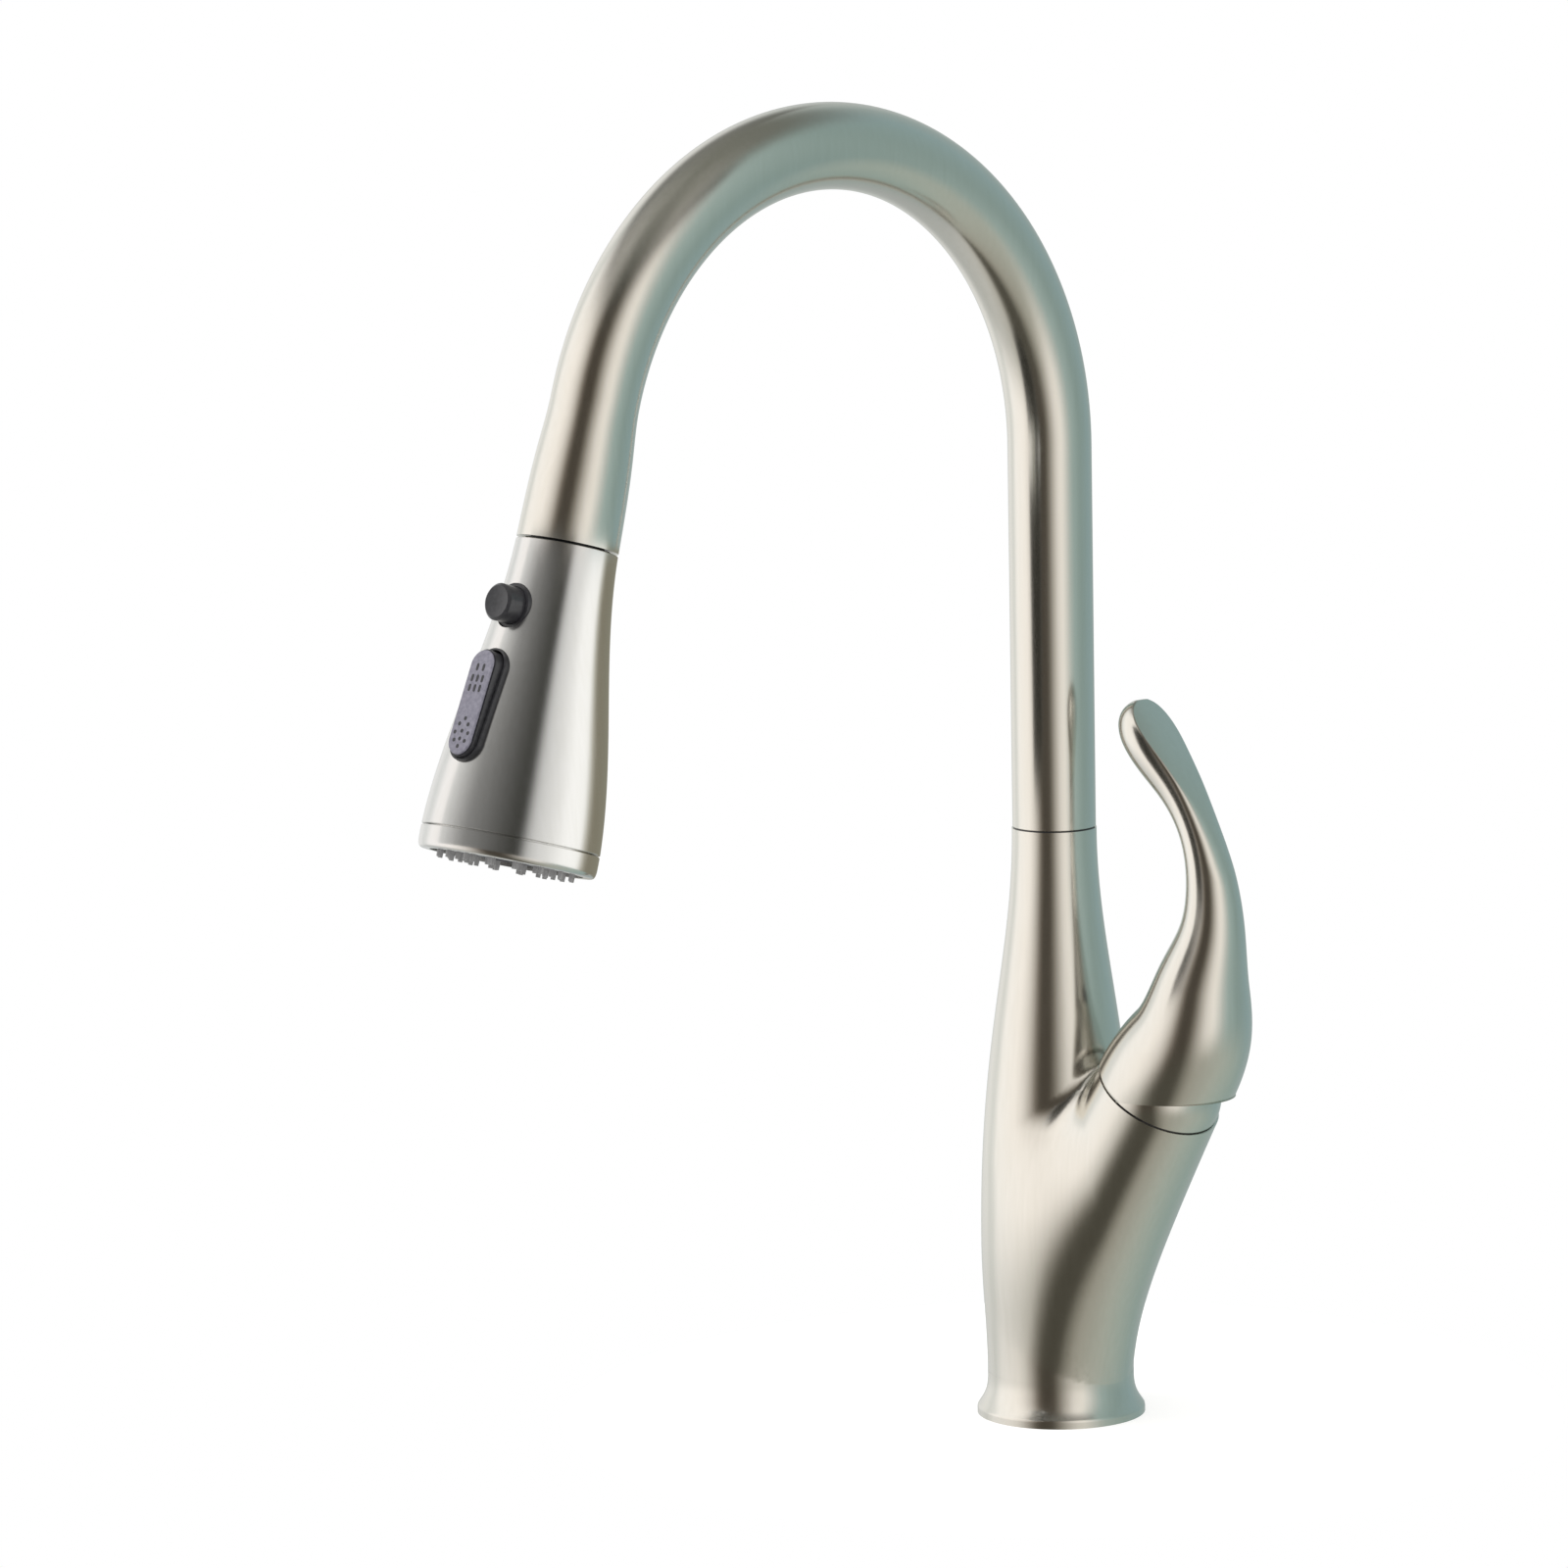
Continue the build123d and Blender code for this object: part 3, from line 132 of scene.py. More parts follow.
def spline(knots, values, first, last, places):
    """Smooth curve through values at knots, with its slopes at both ends."""
    knots, values = np.array(knots, float), np.array(values, float)
    count = len(knots)
    gaps = np.diff(knots)
    matrix = np.zeros((count, count))
    right = np.zeros((count,) + values.shape[1:])
    matrix[0, 0] = matrix[-1, -1] = 1.0
    right[0], right[-1] = first, last
    for i in range(1, count - 1):
        matrix[i, i - 1] = gaps[i]
        matrix[i, i] = 2 * (gaps[i - 1] + gaps[i])
        matrix[i, i + 1] = gaps[i - 1]
        before = (values[i] - values[i - 1]) / gaps[i - 1]
        after = (values[i + 1] - values[i]) / gaps[i]
        right[i] = 3 * (gaps[i] * before + gaps[i - 1] * after)
    slopes = np.linalg.solve(matrix, right)
    places = np.array(places, float)
    low = np.clip(np.searchsorted(knots, places, side="right") - 1, 0, count - 2)
    gap = gaps[low]
    t = (places - knots[low]) / gap
    if values.ndim > 1:
        t, gap = t[:, None], gap[:, None]
    return (
        (2 * t**3 - 3 * t**2 + 1) * values[low]
        + (t**3 - 2 * t**2 + t) * gap * slopes[low]
        + (3 * t**2 - 2 * t**3) * values[low + 1]
        + (t**3 - t**2) * gap * slopes[low + 1]
    )


def running(points):
    """Length along a line up to each of its points."""
    return np.concatenate([[0.0], np.cumsum(np.linalg.norm(np.diff(points, axis=0), axis=1))])


def unit(vectors):
    """The same directions with a length of one."""
    return vectors / np.linalg.norm(vectors, axis=-1, keepdims=True)


def circle(count, side, other):
    """Directions round a full turn in the plane of two directions."""
    turns = np.linspace(0.0, 2 * math.pi, count, endpoint=False)[:, None]
    return np.cos(turns) * side + np.sin(turns) * other


def arc(radius, start, stop, count):
    """Arc as radii and heights."""
    return [(radius * math.cos(a), radius * math.sin(a)) for a in np.linspace(start, stop, count)]


def from_axis(points, origin, axis):
    """Distance of each point from an axis, and its place along it."""
    off = points - origin
    along = off @ axis
    return np.linalg.norm(off - along[..., None] * axis, axis=-1), along


# Meshes
def mesh_object(name, points, faces):
    """Object from points in millimetres and index lists."""
    places = [tuple(p) for p in np.asarray(points, float) * MM]
    mesh = bpy.data.meshes.new(name)
    mesh.from_pydata(places, [], [tuple(f) for f in faces])
    mesh.validate()
    mesh.update()
    mesh.polygons.foreach_set("use_smooth", [True] * len(mesh.polygons))
    obj = bpy.data.objects.new(name, mesh)
    bpy.context.scene.collection.objects.link(obj)
    return obj


def joined(groups):
    """One list of points and of faces from several."""
    points, faces = [], []
    for group_points, group_faces in groups:
        base = len(points)
        points.extend(group_points)
        faces.extend([tuple(base + i for i in face) for face in group_faces])
    return points, faces


def ring_faces(rows, count, wrap=False):
    """Quads that join rows of equal rings, and the last row to the first when wrapped."""
    faces = []
    for row in range(rows if wrap else rows - 1):
        low, high = row * count, (row + 1) % rows * count
        for j in range(count):
            k = (j + 1) % count
            faces.append((low + j, low + k, high + k, high + j))
    return faces


def turned(profile, origin, axis, side, segments=192, wrap=True):
    """Points and faces of a turned form, from radius and height along an axis."""
    spokes = circle(segments, side, np.cross(axis, side))
    points = []
    for radius, height in profile:
        points.extend(origin + axis * height + spokes * radius)
    return points, ring_faces(len(profile), segments, wrap)


def outward(obj):
    """Turns all faces outward."""
    bm = bmesh.new()
    bm.from_mesh(obj.data)
    bmesh.ops.recalc_face_normals(bm, faces=bm.faces)
    bm.to_mesh(obj.data)
    bm.free()


def sharpen(obj, angle=30.0):
    """Marks the edges that are sharper than an angle."""
    bm = bmesh.new()
    bm.from_mesh(obj.data)
    limit = math.radians(angle)
    for edge in bm.edges:
        edge.smooth = len(edge.link_faces) == 2 and edge.calc_face_angle() < limit
    for face in bm.faces:
        face.smooth = True
    bm.to_mesh(obj.data)
    bm.free()


def lathe(name, profile, origin, axis, side=ACROSS, segments=192):
    """Closed turned piece."""
    obj = mesh_object(name, *turned(profile, origin, axis, side, segments))
    outward(obj)
    sharpen(obj)
    return obj


def true_normals(obj, field):
    """Shades each face that lies on a field's zero level by the field's own slope."""
    mesh = obj.data
    points = np.empty(len(mesh.vertices) * 3)
    mesh.vertices.foreach_get("co", points)
    level, slope = field_slope(field, points.reshape(-1, 3) / MM)
    on_level = np.abs(level) < ON_LEVEL
    corner = np.empty(len(mesh.loops), int)
    mesh.loops.foreach_get("vertex_index", corner)
    corners_of_face = np.empty(len(mesh.polygons), int)
    mesh.polygons.foreach_get("loop_total", corners_of_face)
    normals = np.empty(len(mesh.polygons) * 3)
    mesh.polygons.foreach_get("normal", normals)
    normals = np.repeat(normals.reshape(-1, 3), corners_of_face, axis=0)
    shading = np.empty(len(mesh.loops) * 3)
    mesh.corner_normals.foreach_get("vector", shading)
    shading = shading.reshape(-1, 3)
    agree = (slope[corner] * normals).sum(axis=1) > AGREEMENT
    use = on_level[corner] & agree
    shading[use] = slope[corner][use]
    mesh.normals_split_custom_set([tuple(n) for n in shading])


def field_slope(field, points):
    """Value of a field and its unit slope at each point."""
    slope = np.empty_like(points)
    for axis in range(3):
        shift = np.zeros(3)
        shift[axis] = SLOPE_STEP
        slope[:, axis] = (field(points + shift) - field(points - shift)) / (2 * SLOPE_STEP)
    size = np.linalg.norm(slope, axis=1)
    size[size == 0] = 1.0
    return field(points), slope / size[:, None]


def side_field(reach, height, side):
    """Distance from a turned side, by the reach from its axis and the height along it."""
    radius = np.interp(height, side[:, 1], side[:, 0])
    ahead = np.interp(height + 0.5, side[:, 1], side[:, 0])
    behind = np.interp(height - 0.5, side[:, 1], side[:, 0])
    return (reach - radius) / np.sqrt(1 + (ahead - behind) ** 2)


def cut(obj, cutter):
    """Takes one closed mesh out of another."""
    modifier = obj.modifiers.new("cut", "BOOLEAN")
    modifier.operation = "DIFFERENCE"
    modifier.solver = "EXACT"
    modifier.object = cutter
    graph = bpy.context.evaluated_depsgraph_get()
    mesh = bpy.data.meshes.new_from_object(obj.evaluated_get(graph))
    obj.modifiers.clear()
    old = obj.data
    obj.data = mesh
    bpy.data.meshes.remove(old)
    bpy.data.objects.remove(cutter)


def node_faces(node, keep=None):
    """Points of a CAD node, and its faces, or those whose middles pass a test."""
    mesh = nodes[node].data
    points = np.empty(len(mesh.vertices) * 3)
    mesh.vertices.foreach_get("co", points)
    points = points.reshape(-1, 3) / MM
    faces = [tuple(p.vertices) for p in mesh.polygons]
    if keep is not None:
        middles = np.array([points[list(f)].mean(axis=0) for f in faces])
        faces = [f for f, use in zip(faces, keep(middles)) if use]
    return list(points), faces


# Cast body: the column and the branch run into each other in a soft valley
COLUMN_SIDE = np.vstack(
    [
        bezier((BASE_R, BASE_EDGE), FLARE_PULL, (NECK_R, NECK_LOW_PULL), (NECK_R, NECK_Z)),
        bezier(
            (NECK_R, NECK_Z),
            (NECK_R, NECK_HIGH_PULL),
            (BELLY_R, BELLY_LOW_PULL),
            (BELLY_R, BELLY_Z),
        )[1:],
        bezier(
            (BELLY_R, BELLY_Z),
            (BELLY_R, BELLY_HIGH_PULL),
            (COLUMN_TOP_R, SHOULDER_PULL),
            (COLUMN_TOP_R, COLUMN_TOP),
            200,
        )[1:],
        [(COLUMN_TOP_R, COLUMN_TOP + RUN_ON)],
    ]
)

# The branch's middle line and radii, run on straight for a few millimetres past its mouth
spine = bezier(BRANCH_FOOT, BRANCH_FOOT_PULL, PIVOT - BRANCH * BRANCH_MOUTH_PULL, PIVOT, 400)
spine_run = running(spine)
radius_fit = np.polyfit(np.linspace(0.0, 1.0, len(BRANCH_RADII)), BRANCH_RADII, 4)
spine_r = np.polyval(radius_fit, spine_run / spine_run[-1])
mouth_slope = (spine_r[-1] - spine_r[-9]) / (spine_run[-1] - spine_run[-9])
past_mouth = np.arange(1, 9)
SPINE = np.vstack([spine, PIVOT + BRANCH * past_mouth[:, None]])
SPINE_R = np.concatenate([spine_r, BRANCH_R + past_mouth * mouth_slope])
SPINE_WAY = unit(np.gradient(SPINE, axis=0))
BATCH = 20000


def column_field(points):
    """Distance from the column's side."""
    return side_field(np.hypot(points[:, 0], points[:, 1]), points[:, 2], COLUMN_SIDE)


def branch_field(points, stride=1):
    """Distance from the branch's side, from every stride-th point of its middle line."""
    spine, way, radii = SPINE[::stride], SPINE_WAY[::stride], SPINE_R[::stride]
    result = np.empty(len(points))
    for start in range(0, len(points), BATCH):
        part = points[start : start + BATCH]
        across = np.subtract.outer(part[:, 0], spine[:, 0])
        rise = np.subtract.outer(part[:, 2], spine[:, 2])
        near = (across**2 + rise**2).argmin(axis=1)
        off = part - spine[near]
        along = (off * way[near]).sum(axis=1)
        along = np.where(near == 0, np.maximum(along, 0.0), along)
        reach = np.linalg.norm(off - along[:, None] * way[near], axis=1)
        ahead = np.minimum(near + 1, len(radii) - 1)
        gap = np.linalg.norm(spine[ahead] - spine[near], axis=1) + 1e-9
        radius = radii[near] + along * (radii[ahead] - radii[near]) / gap
        result[start : start + BATCH] = reach - radius
    return result


def valley(points):
    """Width over which the two forms melt together, by height."""
    rise = np.clip((points[:, 2] - FLANGE_JOIN) / (VALLEY_FULL - FLANGE_JOIN), 0.0, 1.0)
    growing = VALLEY_SEAM + VALLEY_WIDTH * rise**2 * (3 - 2 * rise)
    return growing * np.interp(points[:, 2], NARROW_AT, NARROW_TO)


def body_field(points, stride=1):
    """Distance from the cast body, with column and branch melted together in the valley."""
    column, branch = column_field(points), branch_field(points, stride)
    width = valley(points)
    share = np.maximum(width - np.abs(column - branch), 0) / width
    return np.minimum(column, branch) - share**2 * width / 4


def surface_net(field, low, high, step):
    """Quads near a field's zero level, from values on a grid."""
    grids = [np.arange(a, b, step) for a, b in zip(low, high)]
    places = np.stack(np.meshgrid(*grids, indexing="ij"), axis=-1)
    shape = places.shape[:3]
    values = field(places.reshape(-1, 3)).reshape(shape)
    total = np.zeros(tuple(n - 1 for n in shape) + (3,))
    hits = np.zeros(total.shape[:3])
    quads = []
    for axis in range(3):
        near, far = [slice(None)] * 3, [slice(None)] * 3
        near[axis], far[axis] = slice(0, -1), slice(1, None)
        a, b = values[tuple(near)], values[tuple(far)]
        index = np.argwhere((a < 0) != (b < 0))
        u, w = (axis + 1) % 3, (axis + 2) % 3
        inside = (index[:, u] > 0) & (index[:, w] > 0)
        inside &= (index[:, u] < shape[u] - 1) & (index[:, w] < shape[w] - 1)
        index = index[inside]
        va, vb = a[tuple(index.T)], b[tuple(index.T)]
        place = index.astype(float)
        place[:, axis] += va / (va - vb)
        ring = []
        for du, dw in ((-1, -1), (0, -1), (0, 0), (-1, 0)):
            cell = index.copy()
            cell[:, u] += du
            cell[:, w] += dw
            ring.append(cell)
            np.add.at(total, tuple(cell.T), place)
            np.add.at(hits, tuple(cell.T), 1)
        quads.append((ring, va < 0))
    number = np.cumsum(hits.reshape(-1) > 0).reshape(hits.shape) - 1
    used = hits > 0
    points = np.array(low) + step * total[used] / hits[used][:, None]
    faces = []
    for ring, outwards in quads:
        corners = np.stack([number[tuple(cell.T)] for cell in ring], axis=1)
        corners[~outwards] = corners[~outwards][:, ::-1]
        faces.extend(map(tuple, corners))
    return points, faces


def settle(points, field, rounds=6, longest=1.5):
    """Moves points onto a field's zero level, by a longest step in each round."""
    for _ in range(rounds):
        level, slope = field_slope(field, points)
        points = points - slope * np.clip(level, -longest, longest)[:, None]
    return points


def trimmed(points, faces, planes):
    """Cuts a skin back to one side of each plane, each with its own test for faces."""
    bm = bmesh.new()
    made = [bm.verts.new(p) for p in points]
    for face in faces:
        bm.faces.new([made[i] for i in face])
    for place, way, test in planes:
        chosen = [f for f in bm.faces if test(np.array(f.calc_center_median()))]
        part = set(chosen)
        for face in chosen:
            part.update(face.edges)
            part.update(face.verts)
        bmesh.ops.bisect_plane(
            bm, geom=list(part), dist=1e-5, plane_co=place, plane_no=way, clear_outer=True
        )
    bm.verts.index_update()
    kept_points = [tuple(v.co) for v in bm.verts]
    kept_faces = [tuple(v.index for v in f.verts) for f in bm.faces]
    bm.free()
    return kept_points, kept_faces


MOUTH_DEPTH = 3.0
MOUTH_REACH = 21.5


def at_mouth(middle):
    """Tells whether a face lies near the mouth of the branch."""
    reach, along = from_axis(middle, PIVOT, BRANCH)
    return along > -MOUTH_DEPTH and reach < MOUTH_REACH


NET_LOW = (-27.0, -27.0, 9.0)
NET_HIGH = (68.0, 27.5, 188.0)
NET_STEP = 1.25
NET_STRIDE = 4
END_ZONE = 4.0
net_points, net_faces = surface_net(
    lambda points: body_field(points, NET_STRIDE), NET_LOW, NET_HIGH, NET_STEP
)
body_skin = trimmed(
    settle(net_points, body_field),
    net_faces,
    [
        ((0, 0, FLANGE_JOIN), (0, 0, -1), lambda middle: middle[2] < FLANGE_JOIN + END_ZONE),
        ((0, 0, COLUMN_TOP), (0, 0, 1), lambda middle: middle[2] > COLUMN_TOP - END_ZONE),
        (tuple(PIVOT), tuple(BRANCH), at_mouth),
    ],
)

# Flange: a rounded edge, then the column's own side to just above the join, a hair outside the skin
flange = [(BASE_R, 0.0), (BASE_R, 1.5), (25.97, 1.9), (25.85, 2.3), (25.6, 2.72)]
FLANGE_FROM = 2.95
FLANGE_OVERLAP = 0.8
FLANGE_LIFT = 0.02
for radius, height in COLUMN_SIDE:
    if FLANGE_FROM < height < FLANGE_JOIN + FLANGE_OVERLAP:
        flange.append((radius + (FLANGE_LIFT if height > FLANGE_JOIN - 1 else 0.0), height))

SKIN_DEPTH = 0.3


def inside_body(middles):
    """Faces of the CAD body that lie behind its skin, or in its foot, top or mouth."""
    level = np.minimum(column_field(middles), branch_field(middles))
    reach, along = from_axis(middles, PIVOT, BRANCH)
    mouth = (np.abs(along) < TOUCH) & (reach < BRANCH_R)
    ends = (middles[:, 2] > COLUMN_TOP - TOUCH) | (middles[:, 2] < TOUCH)
    return (level < -SKIN_DEPTH) | mouth | ends


body_look = mesh_object(
    "body_casting",
    *joined(
        [
            body_skin,
            turned(flange, np.zeros(3), UP, ACROSS, wrap=False),
            node_faces("faucet_body", inside_body),
        ]
    ),
)
sharpen(body_look)
true_normals(body_look, body_field)
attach(body_look, "base")
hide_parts("faucet_body")


# Lever: hood, horn and thumb rest with a ridge on each side that fades downwards.
# Each row of HORN is a place across and above the pivot, with the horn's radius there.
HORN = np.array(
    [
        (13.9, 20.6, 18.2),
        (18.5, 37.1, 14.2),
        (22.4, 52.7, 10.0),
        (22.2, 67.5, 7.7),
        (18.0, 81.8, 6.4),
        (9.6, 95.8, 7.1),
        (3.0, 103.6, 8.3),
        (-2.3, 110.1, 8.7),
        (-6.4, 115.2, 7.3),
        (-8.5, 117.8, 4.8),
    ]
)
# Middle line of the thumb rest, across and above the pivot
THUMB = np.array([(26.5, 79.0), (21.9, 85.9), (17.3, 92.9), (8.3, 104.7), (-5.6, 120.8)])
HOOD_R = 20.5
HOOD_INNER_R = 19.4
HOOD_EDGE = 0.95
HOOD_ROLL = 1.1
HOOD_TUCK = 0.75
HOOD_CUT = 0.5
WAIST = 10.0
WAIST_R = 20.3
WAIST_SHIFT = 0.6
CROWN_R = 45.0
TIP_ANGLE = math.radians(40.0)
TIP_DEPTH = 4.2
TIP_SLOPE = 1.6
TIP_ROWS = 12
HORN_SIDES = 224

centres = [PIVOT, PIVOT + BRANCH * WAIST + OUT * WAIST_SHIFT]
centres += [PIVOT + ACROSS * reach + UP * rise for reach, rise, _ in HORN]
centres = np.array(centres)
radii = np.array([HOOD_R, WAIST_R, *HORN[:, 2]])
knots = running(centres)
end_way = unit(centres[-1] - centres[-2])
hood_top = HOOD_EDGE + HOOD_ROLL
places = np.concatenate(
    [np.linspace(HOOD_EDGE, hood_top, 9)[:-1], np.linspace(hood_top, knots[-1], 250)]
)
line = spline(knots, centres, BRANCH, end_way, places)
end_slope = (radii[-1] - radii[-2]) / (knots[-1] - knots[-2]) * TIP_SLOPE
line_r = spline(knots, radii, 0.0, end_slope, places)
rolled = np.clip((hood_top - places) / HOOD_ROLL, 0.0, 1.0)
line_r -= HOOD_TUCK * (1 - np.sqrt(1 - rolled**2))
line_way = unit(np.gradient(line, places, axis=0))

thumb_knots = running(THUMB)
thumb_ways = np.diff(THUMB, axis=0) / np.diff(thumb_knots)[:, None]
thumb_places = np.linspace(0.0, thumb_knots[-1], 300)
thumb_line = spline(thumb_knots, THUMB, thumb_ways[0], thumb_ways[-1], thumb_places)
thumb_line += (PIVOT[0], PIVOT[2])
thumb_out = unit(np.gradient(thumb_line, axis=0)[:, ::-1] * (1.0, -1.0))
thumb_out *= np.sign(thumb_out[:, :1])


def thumb_rest(ring, softness):
    """Presses a ring's outer side down to the thumb rest's surface."""
    flat = ring[:, ::2]
    apart = ((flat[:, None, :] - thumb_line[None, :, :]) ** 2).sum(axis=2)
    near = apart.argmin(axis=1)
    way = thumb_out[near]
    beyond = ((flat - thumb_line[near]) * way).sum(axis=1) + ring[:, 1] ** 2 / (2 * CROWN_R)
    share = np.maximum(softness - np.abs(beyond), 0) / softness
    kept = np.minimum(beyond, 0) - share**2 * softness / 4
    moved = (kept - beyond)[:, None] * way
    result = ring.copy()
    result[:, 0] += moved[:, 0]
    result[:, 2] += moved[:, 1]
    return result


# The ridge's softness by height, from where the rest begins to its sharp end
THUMB_FROM = 150.0
SOFT_AT = (178.0, 190.0, 200.0, 212.0)
SOFT_TO = (4.0, 2.2, 0.8, 0.3)
horn_rings = [line[0] + HOOD_INNER_R * circle(HORN_SIDES, np.cross(SIDE, line_way[0]), SIDE)]
for centre, way, radius in zip(line, line_way, line_r):
    ring = centre + radius * circle(HORN_SIDES, np.cross(SIDE, way), SIDE)
    if centre[2] > THUMB_FROM:
        ring = thumb_rest(ring, np.interp(centre[2], SOFT_AT, SOFT_TO))
    horn_rings.append(ring)

# Rounded tip
last_ring = horn_rings[-1]
last_centre = last_ring.mean(axis=0)
for step in range(1, TIP_ROWS):
    angle = TIP_ANGLE + step / TIP_ROWS * (math.pi / 2 - TIP_ANGLE)
    ring = last_centre + (last_ring - last_centre) * math.cos(angle) / math.cos(TIP_ANGLE)
    horn_rings.append(ring + end_way * TIP_DEPTH * (math.sin(angle) - math.sin(TIP_ANGLE)))
horn_faces = ring_faces(len(horn_rings), HORN_SIDES)
tip_start = (len(horn_rings) - 1) * HORN_SIDES
horn_faces.append(tuple(range(tip_start, tip_start + HORN_SIDES)))
HOOD_ZONE = 110.0
horn_points, horn_faces = trimmed(
    np.concatenate(horn_rings),
    horn_faces,
    [((0, 0, PIVOT[2] + HOOD_CUT), (0, 0, -1), lambda middle: middle[2] < HOOD_ZONE)],
)

# Hole for the index plug: points near its edge move onto it, and the faces inside go
PLUG_S = 25.0
PLUG_R = 3.3
PLUG_SNAP = 0.42
PLUG_MARGIN = 0.05
plug_at = PIVOT + BRANCH * PLUG_S
horn_points = np.array(horn_points)
reach, along = from_axis(horn_points, plug_at, -OUT)
snap = (np.abs(reach - PLUG_R) < PLUG_SNAP) & (along > 0)
on_axis = plug_at - along[:, None] * OUT
scale = np.where(snap, PLUG_R / np.maximum(reach, 1e-6), 1.0)[:, None]
horn_points = np.where(snap[:, None], on_axis + (horn_points - on_axis) * scale, horn_points)
middles = np.array([horn_points[list(face)].mean(axis=0) for face in horn_faces])
reach, along = from_axis(middles, plug_at, -OUT)
solid = (along < 0) | (reach > PLUG_R - PLUG_MARGIN)
horn_faces = [face for face, use in zip(horn_faces, solid) if use]

CAVITY_TOP = 175.0
CAVITY_DEPTH = 0.25
RIM_ZONE = 140.0


def inside_lever(middles):
    """Faces of the CAD lever that lie behind its skin, or in the hood's lower edge."""
    apart = middles[:, None, ::2] - line[None, :, ::2]
    near = (apart**2).sum(axis=2).argmin(axis=1)
    off = middles - line[near]
    run = (off * line_way[near]).sum(axis=1)
    reach = np.linalg.norm(off - run[:, None] * line_way[near], axis=1)
    low = middles[:, 2] < CAVITY_TOP
    edge = np.abs(middles[:, 2] - PIVOT[2] - HOOD_CUT) < TOUCH
    rim = np.abs((middles - PIVOT) @ BRANCH - HOOD_CUT) < TOUCH
    return low & ~rim & ((reach < line_r[near] - CAVITY_DEPTH) | edge)


rim_plane = (tuple(PIVOT + BRANCH * HOOD_EDGE), tuple(-BRANCH), lambda middle: middle[2] < RIM_ZONE)
lever_inside = trimmed(*node_faces("handle_lever", inside_lever), [rim_plane])
lever_look = mesh_object("lever_casting", *joined([(horn_points, horn_faces), lever_inside]))
sharpen(lever_look, 40.0)
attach(lever_look, "handle")
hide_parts("handle_lever")

# Spout: leg, arch and flared end as one ring of walls
TUBE_R = 12.8
TUBE_BORE = 11.5
TUBE_LOW = 183.6
FOOT_EASE = 0.15
SLEEVE_TOP = -30.0
END_BORE = 12.4
SEAM = 0.35
FLARE_AT = -28.0
FLARE_R = 13.7
FLARE_SLOPE = 0.02
HEAD_TOP_R = 14.8
SPOUT_SIDES = 160
stations = []
for height in (TUBE_LOW, TUBE_LOW + FOOT_EASE, *np.linspace(TUBE_LOW + 1, ARC_START, 14)):
    eased = FOOT_EASE * max(0.0, 1 - (height - TUBE_LOW) / FOOT_EASE)
    stations.append((UP * height, SIDE, TUBE_R - eased, TUBE_BORE))
for turn in np.linspace(0.0, ARC_SWEEP, 110)[1:]:
    spoke = np.array([0.0, math.cos(turn), math.sin(turn)])
    stations.append((ARC_CENTRE + ARC_R * spoke, spoke, TUBE_R, TUBE_BORE))
depths = np.linspace(-END_LENGTH, -SEAM, 40)[1:]
flare_knots = (-END_LENGTH, FLARE_AT, -SEAM)
flare = spline(flare_knots, (TUBE_R, FLARE_R, HEAD_TOP_R), 0.0, FLARE_SLOPE, depths)
for depth, radius in zip(depths, flare):
    bore = END_BORE if depth > SLEEVE_TOP else TUBE_BORE
    stations.append((DOCK + DOWN * depth, END_SPOKE, radius, bore))
outer = [c + circle(SPOUT_SIDES, ACROSS, spoke) * radius for c, spoke, radius, _ in stations]
inner = [c + circle(SPOUT_SIDES, ACROSS, spoke) * bore for c, spoke, _, bore in stations]
walls = outer + inner[::-1]
spout_faces = ring_faces(len(walls), SPOUT_SIDES, True)
spout_look = mesh_object("spout_pipe", np.concatenate(walls), spout_faces)
outward(spout_look)
sharpen(spout_look, 40.0)
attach(spout_look, "spout")
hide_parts("spout_tube")

# Sliding ring under the spout, coloured black in place of its white finish: painted shade, so that
# the seam under the spout reads dark
ring_look = mesh_object("sliding_ring_painted_shade", *node_faces("thrust_ring"))
sharpen(ring_look)
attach(ring_look, "base")
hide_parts("thrust_ring")

# Bonnet below the lever's hood
BONNET_R = 19.0
BONNET_IN = 17.3
BONNET_HOLE = 13.0
BONNET_SKIRT = 15.65
BONNET_FOOT = 0.4
foot_angle = math.asin(BONNET_FOOT / BONNET_R)
dome = arc(BONNET_R, foot_angle, math.acos(BONNET_HOLE / BONNET_R), 40)
high_angle = math.acos(BONNET_HOLE / BONNET_IN)
dome += arc(BONNET_IN, high_angle, math.acos(BONNET_SKIRT / BONNET_IN), 12)
dome += [(BONNET_SKIRT, BONNET_FOOT)]
bonnet_look = lathe("bonnet_dome", dome, PIVOT, BRANCH, OUT)
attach(bonnet_look, "base")
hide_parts("bonnet")

# Spray head's shell with its openings for button and rocker
HEAD_TOP = 0.3
HEAD_LOW = 85.2
HEAD_LOW_R = 25.8
HEAD_WALL = 1.9
HEAD_EDGE = 0.22
HEAD_PULLS = ((15.7, 30.0), (24.8, 56.0))
COLLAR_R = 10.7
head_outside = bezier((HEAD_TOP_R, HEAD_TOP), *HEAD_PULLS, (HEAD_LOW_R, HEAD_LOW), 90)
inner_pulls = [(radius - HEAD_WALL, depth) for radius, depth in HEAD_PULLS]
head_inside = bezier(
    (HEAD_TOP_R - HEAD_WALL, HEAD_TOP + HEAD_WALL),
    *inner_pulls,
    (HEAD_LOW_R - HEAD_WALL, HEAD_LOW),
    30,
)
shell_profile = [(HEAD_TOP_R - HEAD_EDGE, HEAD_TOP), (HEAD_TOP_R, HEAD_TOP + HEAD_EDGE)]
shell_profile += [tuple(p) for p in head_outside if HEAD_TOP + 0.6 < p[1] < HEAD_LOW - 0.6]
shell_profile += [(HEAD_LOW_R, HEAD_LOW - HEAD_EDGE), (HEAD_LOW_R - HEAD_EDGE, HEAD_LOW)]
shell_profile += [tuple(p) for p in head_inside[::-1]]
